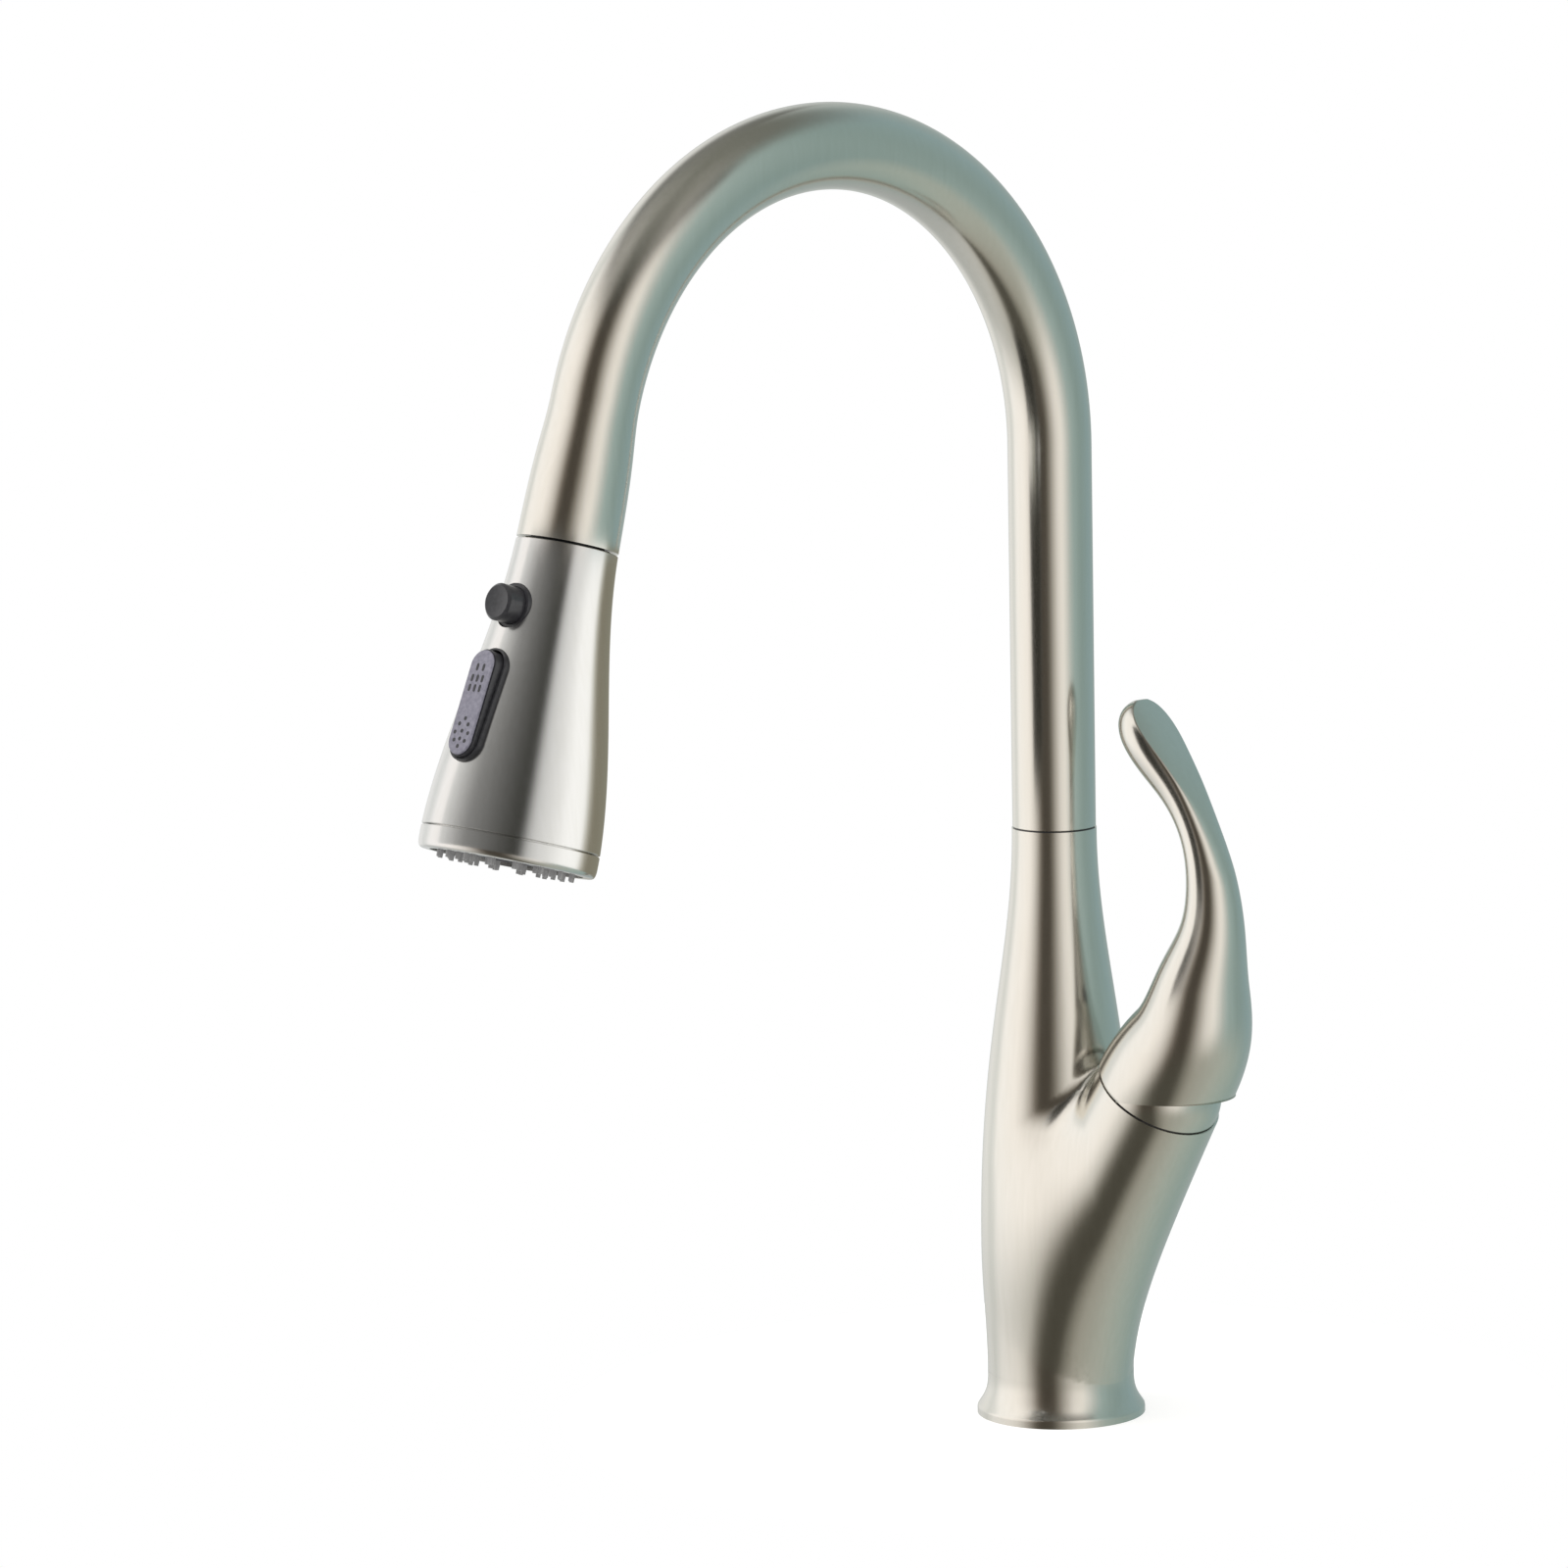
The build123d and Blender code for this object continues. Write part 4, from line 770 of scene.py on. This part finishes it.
shell_profile += [(COLLAR_R, HEAD_TOP + HEAD_WALL), (COLLAR_R, HEAD_TOP)]
shell_look = mesh_object("head_cone", *turned(shell_profile, DOCK, DOWN, ACROSS, 256))
outward(shell_look)

BUTTON_T = 20.4
BUTTON_HOLE = 6.6
BUTTON_CUT_LOW = 9.0
BUTTON_CUT_HIGH = 30.0
AXIS_R = 0.01
button_cut = [(AXIS_R, BUTTON_CUT_LOW), (BUTTON_HOLE, BUTTON_CUT_LOW)]
button_cut += [(BUTTON_HOLE, BUTTON_CUT_HIGH), (AXIS_R, BUTTON_CUT_HIGH)]
cut(shell_look, lathe("button_cut", button_cut, DOCK + DOWN * BUTTON_T, FRONT, ACROSS, 96))

ROCKER_T = 50.0
ROCKER_SURFACE = 21.9
SLOPE = math.radians(10.4)
ROCKER_OUT = FRONT * math.cos(SLOPE) - DOWN * math.sin(SLOPE)
ROCKER_UP = np.cross(ROCKER_OUT, ACROSS)
ROCKER_ORIGIN = DOCK + DOWN * ROCKER_T + FRONT * ROCKER_SURFACE
SLOT_LENGTH = 34.2
SLOT_WIDTH = 12.2
SLOT_LOW = -6.4
SLOT_HIGH = 12.8


def prism(rim, origin, up, out, low, high):
    """Points and faces of a closed prism between two levels over a rim of flat places."""
    points = [origin + ACROSS * x + up * y + out * level for level in (low, high) for x, y in rim]
    count = len(rim)
    caps = [tuple(range(count)), tuple(range(2 * count - 1, count - 1, -1))]
    return points, ring_faces(2, count) + caps


slot_radius = SLOT_WIDTH / 2
slot_straight = SLOT_LENGTH / 2 - slot_radius
slot_rim = [(x, slot_straight + y) for x, y in arc(slot_radius, 0.0, math.pi, 97)]
slot_rim += [(x, y - slot_straight) for x, y in arc(slot_radius, math.pi, 2 * math.pi, 97)]
slot_parts = prism(slot_rim, ROCKER_ORIGIN, ROCKER_UP, ROCKER_OUT, SLOT_LOW, SLOT_HIGH)
rocker_cut = mesh_object("rocker_cut", *slot_parts)
outward(rocker_cut)
cut(shell_look, rocker_cut)


def shell_field(points):
    """Distance from the head's side."""
    return side_field(*from_axis(points, DOCK, DOWN), head_outside)


sharpen(shell_look)
true_normals(shell_look, shell_field)
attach(shell_look, "spray_head")
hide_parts("head_shell")

# Return spring of the pause button, on its own copy of the mesh
spring_look = mesh_object("button_coil", *node_faces("button_spring"))
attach(spring_look, "spray_head")
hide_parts("button_spring")
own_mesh(spring_look)

# Rim band at the foot of the head
RIM_TOP = 82.0
RIM_STEP = 90.9
RIM_LOW = 92.0
RIM_IN_R = 22.2
RIM_SEAT_R = 22.6
RIM_NECK_R = 23.4
RIM_END_R = 24.4
rim_profile = [(RIM_IN_R, RIM_LOW), (RIM_IN_R, RIM_STEP), (RIM_SEAT_R, RIM_STEP)]
rim_profile += [(RIM_SEAT_R, RIM_TOP), (RIM_NECK_R, RIM_TOP), (RIM_NECK_R, HEAD_LOW + SEAM)]
rim_profile += [(HEAD_LOW_R - HEAD_EDGE, HEAD_LOW + SEAM)]
rim_profile += [(HEAD_LOW_R, HEAD_LOW + SEAM + HEAD_EDGE)]
rim_roll = bezier(
    (HEAD_LOW_R, RIM_LOW - 3.4),
    (HEAD_LOW_R, RIM_LOW - 1.2),
    (HEAD_LOW_R - 0.3, RIM_LOW),
    (RIM_END_R, RIM_LOW),
    24,
)
rim_profile += [tuple(p) for p in rim_roll]
rim_look = lathe("head_band", rim_profile[::-1], DOCK, DOWN, ACROSS, 256)
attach(rim_look, "spray_head")
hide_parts("head_rim")

# Rocker marks: dashes for the stream end, dots for the spray end
LEAN = math.radians(3.06)
PIN_W = -4.2
FACE_W = 3.15
pin = ROCKER_ORIGIN + ROCKER_OUT * PIN_W
face_out = ROCKER_OUT * math.cos(LEAN) - ROCKER_UP * math.sin(LEAN)
face_up = np.cross(face_out, ACROSS)
face_origin = pin + face_out * (FACE_W - PIN_W)
DASH_WIDTH = 1.0
DASH_LENGTH = 2.2
DASH_GAP = 2.1
DASH_ROWS = ((10.3, (-0.6, 0.6)), (7.0, (-1, 0, 1)), (4.1, (-1, 0, 1)))
DOT_WIDTH = 1.2
DOTS = (
    (0, -4.9),
    (-1.8, -6.6),
    (1.8, -6.6),
    (-2.7, -9.1),
    (0, -8.6),
    (2.7, -9.1),
    (-2.2, -11.4),
    (2.2, -11.4),
    (0, -10.9),
    (0, -13.1),
)
MARK_SIDES = 24
MARK_LOW = -0.1
MARK_HIGH = 0.03
marks = []
for y, columns in DASH_ROWS:
    marks += [(column * DASH_GAP, y, DASH_WIDTH, DASH_LENGTH) for column in columns]
marks += [(x, y, DOT_WIDTH, DOT_WIDTH) for x, y in DOTS]
groups = []
for x, y, width, length in marks:
    radius = width / 2
    straight = length / 2 - radius
    rim = []
    for turn in np.linspace(0.0, 2 * math.pi, MARK_SIDES, endpoint=False):
        end = y + math.copysign(straight, math.sin(turn))
        rim.append((x + math.cos(turn) * radius, end + math.sin(turn) * radius))
    groups.append(prism(rim, face_origin, face_up, face_out, MARK_LOW, MARK_HIGH))
mark_look = mesh_object("rocker_marks", *joined(groups))
outward(mark_look)
sharpen(mark_look)
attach(mark_look, "mode_rocker")

# Hose end: the braided stretch that leaves the spout with the head
HOSE_R = 6.5
HOSE_BORE = 4.0
LEAD_TOP = -42.0
LEAD_LOW = -19.1
LEAD_HOLD = -27.0
LEAD_ROWS = 240
LEAD_SIDES = 96
PULL = 450.0
depths = np.linspace(LEAD_TOP, LEAD_LOW, LEAD_ROWS)
spokes = circle(LEAD_SIDES, ACROSS, FRONT)
lead_rings = [DOCK + DOWN * depth + spokes * HOSE_R for depth in depths]
lead_rings += [DOCK + DOWN * depth + spokes * HOSE_BORE for depth in depths[::-1]]
lead_faces = ring_faces(len(lead_rings), LEAD_SIDES, True)
lead_look = mesh_object("hose_braided", np.concatenate(lead_rings), lead_faces)
outward(lead_look)
sharpen(lead_look)

# Place of each point on the hose as it lies when it is pulled out, for the weave
braid_circle = circle(LEAD_SIDES, np.array([HOSE_R, 0.0, 0.0]), np.array([0.0, HOSE_R, 0.0]))
braid_places = []
for depth in (*depths, *depths[::-1]):
    stretch = (min(depth, LEAD_HOLD) - LEAD_TOP) / (LEAD_HOLD - LEAD_TOP) * PULL
    braid_places.append(braid_circle + UP * (depth - LEAD_TOP + stretch))
braid = lead_look.data.attributes.new("braid", "FLOAT_VECTOR", "POINT")
braid.data.foreach_set("vector", np.concatenate(braid_places).ravel())
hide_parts("hose_lead")


# Finishes
def added(tree, kind, inputs=None, **settings):
    """New node, its inputs set to values or linked to other nodes' outputs."""
    node = tree.nodes.new("ShaderNode" + kind)
    for name, value in settings.items():
        setattr(node, name, value)
    for socket, value in (inputs or {}).items():
        if isinstance(value, bpy.types.NodeSocket):
            tree.links.new(value, node.inputs[socket])
        else:
            node.inputs[socket].default_value = value
    return node


def node_material(name, base, metallic, roughness):
    """Principled material with constant sockets, and its node tree."""
    material = bpy.data.materials.new(name)
    material.use_nodes = True
    shader = material.node_tree.nodes["Principled BSDF"]
    shader.inputs["Base Color"].default_value = (*base, 1.0)
    shader.inputs["Metallic"].default_value = metallic
    shader.inputs["Roughness"].default_value = roughness
    return material, material.node_tree, shader


GRAIN_DETAIL = 5.0
GRAIN_CONTRAST = (0.3, 0.7)
RELIEF_DEPTH = 0.00005


def grain(tree, shader, scale, stretch, roughness, tones, bump):
    """Noise in object space that varies colour and roughness and raises a fine relief."""
    place = added(tree, "TexCoord").outputs["Object"]
    mapping = added(tree, "Mapping", {"Vector": place, "Scale": stretch})
    noise = added(tree, "TexNoise", {"Vector": mapping.outputs["Vector"], "Scale": scale})
    noise.inputs["Detail"].default_value = GRAIN_DETAIL
    level = noise.outputs["Fac"]
    low, high = roughness
    rough = added(tree, "MapRange", {"Value": level, "To Min": low, "To Max": high})
    tree.links.new(rough.outputs["Result"], shader.inputs["Roughness"])
    ramp = added(tree, "ValToRGB", {"Fac": level})
    for element, position, tone in zip(ramp.color_ramp.elements, GRAIN_CONTRAST, tones):
        element.position = position
        element.color = (*tone, 1.0)
    tree.links.new(ramp.outputs["Color"], shader.inputs["Base Color"])
    relief = added(tree, "Bump", {"Height": level, "Strength": bump, "Distance": RELIEF_DEPTH})
    tree.links.new(relief.outputs["Normal"], shader.inputs["Normal"])


def brushed_nickel(name, red, green, blue):
    """Satin metal with a grain drawn out along its height."""
    material, tree, shader = node_material(name, (red, green, blue), 1.0, 0.2)
    dark = (red * 0.985, green * 0.985, blue * 0.98)
    light = (red * 1.015, green * 1.015, blue * 1.02)
    grain(tree, shader, 90.0, (9.0, 9.0, 0.5), (0.175, 0.215), (dark, light), 0.02)
    return material


def plain_plastic(name, dark, light, low, high):
    """Moulded material with a fine even grain."""
    material, tree, shader = node_material(name, dark, 0.0, low)
    grain(tree, shader, 900.0, (1.0, 1.0, 1.0), (low, high), (dark, light), 0.1)
    return material


def metal(name, dark, light, low, high):
    """Turned metal with a fine even grain."""
    material, tree, shader = node_material(name, dark, 1.0, low)
    grain(tree, shader, 400.0, (1.0, 1.0, 1.0), (low, high), (dark, light), 0.05)
    return material


WEAVE_ALONG = 1.6
WEAVE_AROUND = 10.0
YARN_DARK = (0.12, 0.12, 0.125, 1.0)
YARN_LIGHT = (0.42, 0.42, 0.43, 1.0)


def braided(name):
    """Crossing bands of woven yarn along a hose."""
    material, tree, shader = node_material(name, (0.3, 0.3, 0.31), 0.0, 0.6)
    place = added(tree, "Attribute", attribute_name="braid")
    split = added(tree, "SeparateXYZ", {"Vector": place.outputs["Vector"]})
    x, y, z = split.outputs
    angle = added(tree, "Math", {0: y, 1: x}, operation="ARCTAN2").outputs["Value"]
    waves = []
    for along in (WEAVE_ALONG, -WEAVE_ALONG):
        run = added(tree, "Math", {0: z, 1: along}, operation="MULTIPLY").outputs["Value"]
        phase = added(tree, "Math", {0: angle, 1: WEAVE_AROUND, 2: run}, operation="MULTIPLY_ADD")
        waves.append(added(tree, "Math", {0: phase.outputs["Value"]}, operation="SINE"))
    first, second = (wave.outputs["Value"] for wave in waves)
    weave = added(tree, "Math", {0: first, 1: second}, operation="MULTIPLY")
    raised = added(tree, "MapRange", {"Value": weave.outputs["Value"], "From Min": -1.0})
    level = raised.outputs["Result"]
    tone = added(tree, "ValToRGB", {"Fac": level})
    tone.color_ramp.elements[0].color = YARN_DARK
    tone.color_ramp.elements[1].color = YARN_LIGHT
    tree.links.new(tone.outputs["Color"], shader.inputs["Base Color"])
    relief = added(tree, "Bump", {"Height": level, "Strength": 0.4, "Distance": 0.0003})
    tree.links.new(relief.outputs["Normal"], shader.inputs["Normal"])
    return material


# Dark and light tone of each plain finish, and its least and greatest roughness
PLASTICS = {
    "seal_rubber": ((0.02, 0.02, 0.02), (0.035, 0.035, 0.035), 0.6, 0.75),
    "black_plastic": ((0.03, 0.03, 0.034), (0.048, 0.048, 0.054), 0.25, 0.36),
    "dark_plastic": ((0.075, 0.075, 0.085), (0.105, 0.105, 0.115), 0.3, 0.42),
    "white_bearing": ((0.8, 0.8, 0.77), (0.87, 0.87, 0.84), 0.4, 0.55),
    "cartridge_plastic": ((0.72, 0.72, 0.67), (0.8, 0.8, 0.75), 0.4, 0.55),
    "ceramic_disc": ((0.85, 0.85, 0.83), (0.9, 0.9, 0.88), 0.1, 0.2),
    "hose_braid": ((0.2, 0.2, 0.21), (0.34, 0.34, 0.35), 0.5, 0.7),
    "nozzle_silicone": ((0.36, 0.36, 0.365), (0.46, 0.46, 0.465), 0.25, 0.38),
    "rocker_grey": ((0.2, 0.195, 0.25), (0.31, 0.3, 0.37), 0.32, 0.45),
}
METALS = {
    "brass": ((0.68, 0.5, 0.24), (0.78, 0.6, 0.32), 0.2, 0.35),
    "steel": ((0.5, 0.5, 0.5), (0.62, 0.62, 0.61), 0.2, 0.35),
    "magnet": ((0.1, 0.1, 0.11), (0.14, 0.14, 0.15), 0.45, 0.6),
}
FINISH = {"brushed_nickel": brushed_nickel("brushed_nickel", 0.77, 0.75, 0.69)}
FINISH.update({name: plain_plastic(name, *look) for name, look in PLASTICS.items()})
FINISH.update({name: metal(name, *look) for name, look in METALS.items()})

for entry in frame["record"]["subparts"]:
    node = nodes[entry["node"]]
    node.data.materials.clear()
    node.data.materials.append(FINISH[entry["material_slot"]])
for piece in (body_look, lever_look, spout_look, bonnet_look):
    piece.data.materials.append(FINISH["brushed_nickel"])
head_nickel = brushed_nickel("head_nickel", 0.76, 0.75, 0.73)
for piece in (shell_look, rim_look):
    piece.data.materials.append(head_nickel)
# Black on the rocker marks is their print; black on the sliding ring is painted shade in the seam
# under the spout
for piece in (mark_look, ring_look):
    piece.data.materials.append(FINISH["black_plastic"])
spring_look.data.materials.append(FINISH["steel"])
lead_look.data.materials.append(braided("hose_weave"))
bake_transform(lead_look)


# Studio
def heading(azimuth, elevation=0.0):
    """Direction by its angle from the spout's side round towards the lever, and its height."""
    turn, rise = math.radians(azimuth), math.radians(elevation)
    x, y = math.sin(turn) * math.cos(rise), -math.cos(turn) * math.cos(rise)
    return Vector((x, y, math.sin(rise)))


def glowing(name, points, faces, colours):
    """Stage mesh that glows by its points' colours and shows only in reflections."""
    mesh = bpy.data.meshes.new(name)
    mesh.from_pydata(points, [], faces)
    tint = mesh.color_attributes.new("tint", "FLOAT_COLOR", "POINT")
    for item, colour in zip(tint.data, colours):
        item.color = (*colour, 1.0)
    obj = bpy.data.objects.new(name, mesh)
    bpy.context.scene.collection.objects.link(obj)
    material = bpy.data.materials.new(name)
    material.use_nodes = True
    tree = material.node_tree
    tree.nodes.clear()
    tone = added(tree, "Attribute", attribute_name="tint")
    emission = added(tree, "Emission", {"Color": tone.outputs["Color"]})
    added(tree, "OutputMaterial", {"Surface": emission.outputs["Emission"]})
    mesh.materials.append(material)
    obj.visible_camera = False
    obj.visible_shadow = False
    obj.visible_diffuse = False


# Tent round the object: its tones at the horizon, by the angle from the camera
CAMERA_AZIMUTH = 43.773
TENT = (
    (-180, (0.52, 0.56, 0.55)),
    (-160, (0.8, 0.81, 0.8)),
    (-140, (0.95, 0.95, 0.94)),
    (-122, (0.8, 0.82, 0.81)),
    (-108, (1.15, 1.13, 1.12)),
    (-72, (1.15, 1.1, 1.06)),
    (-58, (0.95, 0.9, 0.86)),
    (-46, (0.6, 0.56, 0.52)),
    (-37, (0.2, 0.17, 0.14)),
    (-30, (0.065, 0.054, 0.042)),
    (-12, (0.065, 0.054, 0.042)),
    (-4, (0.2, 0.18, 0.15)),
    (8, (0.55, 0.52, 0.48)),
    (20, (0.9, 0.86, 0.82)),
    (32, (1.02, 0.98, 0.93)),
    (42, (0.8, 0.8, 0.77)),
    (52, (0.55, 0.6, 0.58)),
    (64, (0.38, 0.49, 0.48)),
    (90, (0.28, 0.38, 0.37)),
    (130, (0.3, 0.42, 0.44)),
    (160, (0.36, 0.44, 0.44)),
    (180, (0.52, 0.56, 0.55)),
)
# Its tones below the horizon
GROUND = (
    (-180, (0.45, 0.48, 0.48)),
    (-90, (0.62, 0.62, 0.6)),
    (-60, (0.55, 0.54, 0.5)),
    (-48, (0.2, 0.19, 0.16)),
    (-38, (0.075, 0.07, 0.055)),
    (-12, (0.075, 0.07, 0.055)),
    (2, (0.27, 0.26, 0.22)),
    (14, (0.4, 0.39, 0.34)),
    (60, (0.46, 0.49, 0.44)),
    (90, (0.42, 0.49, 0.45)),
    (130, (0.33, 0.43, 0.41)),
    (180, (0.45, 0.48, 0.48)),
)
ROOF = np.array((0.2, 0.205, 0.18))
TENT_RADIUS = 1.3
TENT_MIDDLE = Vector((0, 0, 0.15))
TENT_STEP = 4
TENT_HEIGHTS = (-88, -60, -45, *range(-36, 1, 6), 10, 20, *range(28, 53, 6), 60, 70, 88)
GROUND_SPAN = (-32, -12)
ROOF_SPAN = (46, 78)
# A darker zone under the roof, which begins higher at the side past SHADE_TURN
SHADE_SPAN = (38, 52)
HIGH_SHADE_SPAN = (54, 70)
SHADE_TURN = 60
SHADE = 0.8
SHADE_TONE = ROOF * 0.25


def tone_at(tones, azimuth):
    """Tone of a list at an angle."""
    angles = [angle for angle, _ in tones]
    return np.array([np.interp(azimuth, angles, [tone[i] for _, tone in tones]) for i in range(3)])


tent_points, tent_colours = [], []
azimuths = range(-180, 180, TENT_STEP)
for height in TENT_HEIGHTS:
    ground = np.interp(height, GROUND_SPAN, (1, 0))
    roof = np.interp(height, ROOF_SPAN, (0, 1))
    for azimuth in azimuths:
        point = heading(CAMERA_AZIMUTH + azimuth, height) * TENT_RADIUS + TENT_MIDDLE
        tent_points.append(tuple(point))
        shade_span = HIGH_SHADE_SPAN if azimuth > SHADE_TURN else SHADE_SPAN
        shade = np.interp(height, shade_span, (0, SHADE))
        tone = tone_at(TENT, azimuth) * (1 - ground) + tone_at(GROUND, azimuth) * ground
        tone = tone * (1 - shade) + SHADE_TONE * shade
        tent_colours.append(tuple(tone * (1 - roof) + ROOF * roof))
around = len(azimuths)
tent_faces = ring_faces(len(TENT_HEIGHTS), around)
tent_faces += [tuple(range(around)), tuple(range(len(tent_points) - around, len(tent_points)))]
glowing("light_tent", tent_points, tent_faces, tent_colours)

# Card bent round the spray head, with a dark back: its tones by the angle from the camera
CARD = (
    (-80, (0.85, 0.85, 0.84)),
    (-62, (0.55, 0.55, 0.54)),
    (-45, (0.27, 0.27, 0.265)),
    (-15, (0.13, 0.13, 0.125)),
    (6, (0.045, 0.045, 0.04)),
    (14, (0.05, 0.05, 0.045)),
    (22, (0.62, 0.62, 0.61)),
    (30, (0.8, 0.8, 0.79)),
    (45, (0.95, 0.95, 0.93)),
    (62, (1.2, 1.2, 1.18)),
    (84, (1.2, 1.2, 1.17)),
    (93, (0.5, 0.48, 0.4)),
    (101, (0.25, 0.23, 0.17)),
    (150, (0.27, 0.26, 0.2)),
    (170, (0.65, 0.64, 0.6)),
)
CARD_RADIUS = 62.0
CARD_TOP = -7.0
CARD_LOW = 100.0
CARD_BACK = CARD_RADIUS + 1.0
CARD_BACK_GLOW = 0.07
card_angles = range(-80, 171, 4)
card_faces = [(2 * i, 2 * i + 2, 2 * i + 3, 2 * i + 1) for i in range(len(card_angles) - 1)]
cards = (("head_card", CARD_RADIUS, 1.0), ("head_card_back", CARD_BACK, CARD_BACK_GLOW))
for name, radius, glow in cards:
    card_points, card_colours = [], []
    for azimuth in card_angles:
        turn = math.radians(CAMERA_AZIMUTH + azimuth)
        spoke = ACROSS * math.sin(turn) + FRONT * math.cos(turn)
        for depth in (CARD_TOP, CARD_LOW):
            card_points.append(tuple((DOCK + DOWN * depth + spoke * radius) * MM))
            card_colours.append(tuple(tone_at(CARD, azimuth) * glow))
    glowing(name, card_points, card_faces, card_colours)

# World: white to the camera and in reflections, and an even ambient light on the object
scene = bpy.context.scene
scene.view_settings.view_transform = "Standard"
AMBIENT = 0.75
world = bpy.data.worlds.new("studio")
scene.world = world
world.use_nodes = True
tree = world.node_tree
tree.nodes.clear()
paths = added(tree, "LightPath").outputs
seen = added(
    tree, "Math", {0: paths["Is Camera Ray"], 1: paths["Is Glossy Ray"]}, operation="MAXIMUM"
)
seen = added(
    tree, "Math", {0: seen.outputs["Value"], 1: paths["Is Transmission Ray"]}, operation="MAXIMUM"
)
white = added(tree, "Background", {"Color": (1.0, 1.0, 1.0, 1.0), "Strength": 1.0})
ambient = added(tree, "Background", {"Color": (1.0, 0.99, 0.97, 1.0), "Strength": AMBIENT})
shown = {0: seen.outputs["Value"], 1: ambient.outputs["Background"], 2: white.outputs["Background"]}
mix = added(tree, "MixShader", shown)
added(tree, "OutputWorld", {"Surface": mix.outputs["Shader"]})

LIGHT_AIM = Vector((0, -0.1, 0.2))


def soft_light(name, azimuth, elevation, distance, size, energy, colour):
    """Square area lamp that faces the object."""
    data = bpy.data.lights.new(name, "AREA")
    data.energy = energy
    data.size = size
    data.color = colour
    light = bpy.data.objects.new(name, data)
    place = heading(azimuth, elevation)
    light.location = place * distance + LIGHT_AIM
    light.rotation_euler = place.to_track_quat("Z", "Y").to_euler()
    scene.collection.objects.link(light)


soft_light("key", CAMERA_AZIMUTH - 75.0, 62.0, 2.2, 1.2, 12.0, (1.0, 0.98, 0.95))
soft_light("fill", CAMERA_AZIMUTH + 35.0, 62.0, 2.4, 1.0, 6.0, (1.0, 0.97, 0.92))

# Floor: a white disc that runs into the background and ends inside the path of the pulled-out head
FLOOR_RADIUS = 0.155
FLOOR_SIDES = 96
FLOOR_TONE = 0.62
FLOOR_GLOW = 0.58
floor_rim = circle(FLOOR_SIDES, ACROSS * FLOOR_RADIUS, SIDE * FLOOR_RADIUS)
floor_mesh = bpy.data.meshes.new("floor")
floor_mesh.from_pydata([tuple(p) for p in floor_rim], [], [tuple(range(FLOOR_SIDES))])
floor = bpy.data.objects.new("floor", floor_mesh)
scene.collection.objects.link(floor)
floor.visible_glossy = False
floor_material = bpy.data.materials.new("floor")
floor_material.use_nodes = True
tree = floor_material.node_tree
tree.nodes.clear()
matt = added(tree, "BsdfDiffuse", {"Color": (FLOOR_TONE, FLOOR_TONE, FLOOR_TONE, 1.0)})
camera_ray = added(tree, "LightPath").outputs["Is Camera Ray"]
strength = added(tree, "Math", {0: camera_ray, 1: FLOOR_GLOW}, operation="MULTIPLY")
glow = added(tree, "Emission", {"Strength": strength.outputs["Value"]})
both = added(tree, "AddShader", {0: matt.outputs["BSDF"], 1: glow.outputs["Emission"]})
added(tree, "OutputMaterial", {"Surface": both.outputs["Shader"]})
floor_mesh.materials.append(floor_material)

# Camera, found from the base's ellipse, the arch and the column; metres and pixels of the photo
CAMERA_DISTANCE = 2.096167
CAMERA_HEIGHT = 0.502348
AIM_ACROSS = -0.08268
AIM_HEIGHT = 0.197452
FOCAL_PIXELS = 7048.455
PHOTO_PIXELS = 1600
ROLL = -0.018
SENSOR = 36.0
QUARTER = 90.0
eye = heading(CAMERA_AZIMUTH) * CAMERA_DISTANCE + Vector((0, 0, CAMERA_HEIGHT))
aim = heading(CAMERA_AZIMUTH + QUARTER) * AIM_ACROSS + Vector((0, 0, AIM_HEIGHT))
forward = (aim - eye).normalized()
level = forward.cross(Vector((0, 0, 1))).normalized()
upright = level.cross(forward)
right = level * math.cos(ROLL) + upright * math.sin(ROLL)
up = upright * math.cos(ROLL) - level * math.sin(ROLL)
camera_data = bpy.data.cameras.new("camera")
camera_data.sensor_width = SENSOR
camera_data.lens = SENSOR * FOCAL_PIXELS / PHOTO_PIXELS
camera = bpy.data.objects.new("camera", camera_data)
camera.matrix_world = Matrix(
    (
        (right.x, up.x, -forward.x, eye.x),
        (right.y, up.y, -forward.y, eye.y),
        (right.z, up.z, -forward.z, eye.z),
        (0, 0, 0, 1),
    )
)
scene.collection.objects.link(camera)
scene.camera = camera
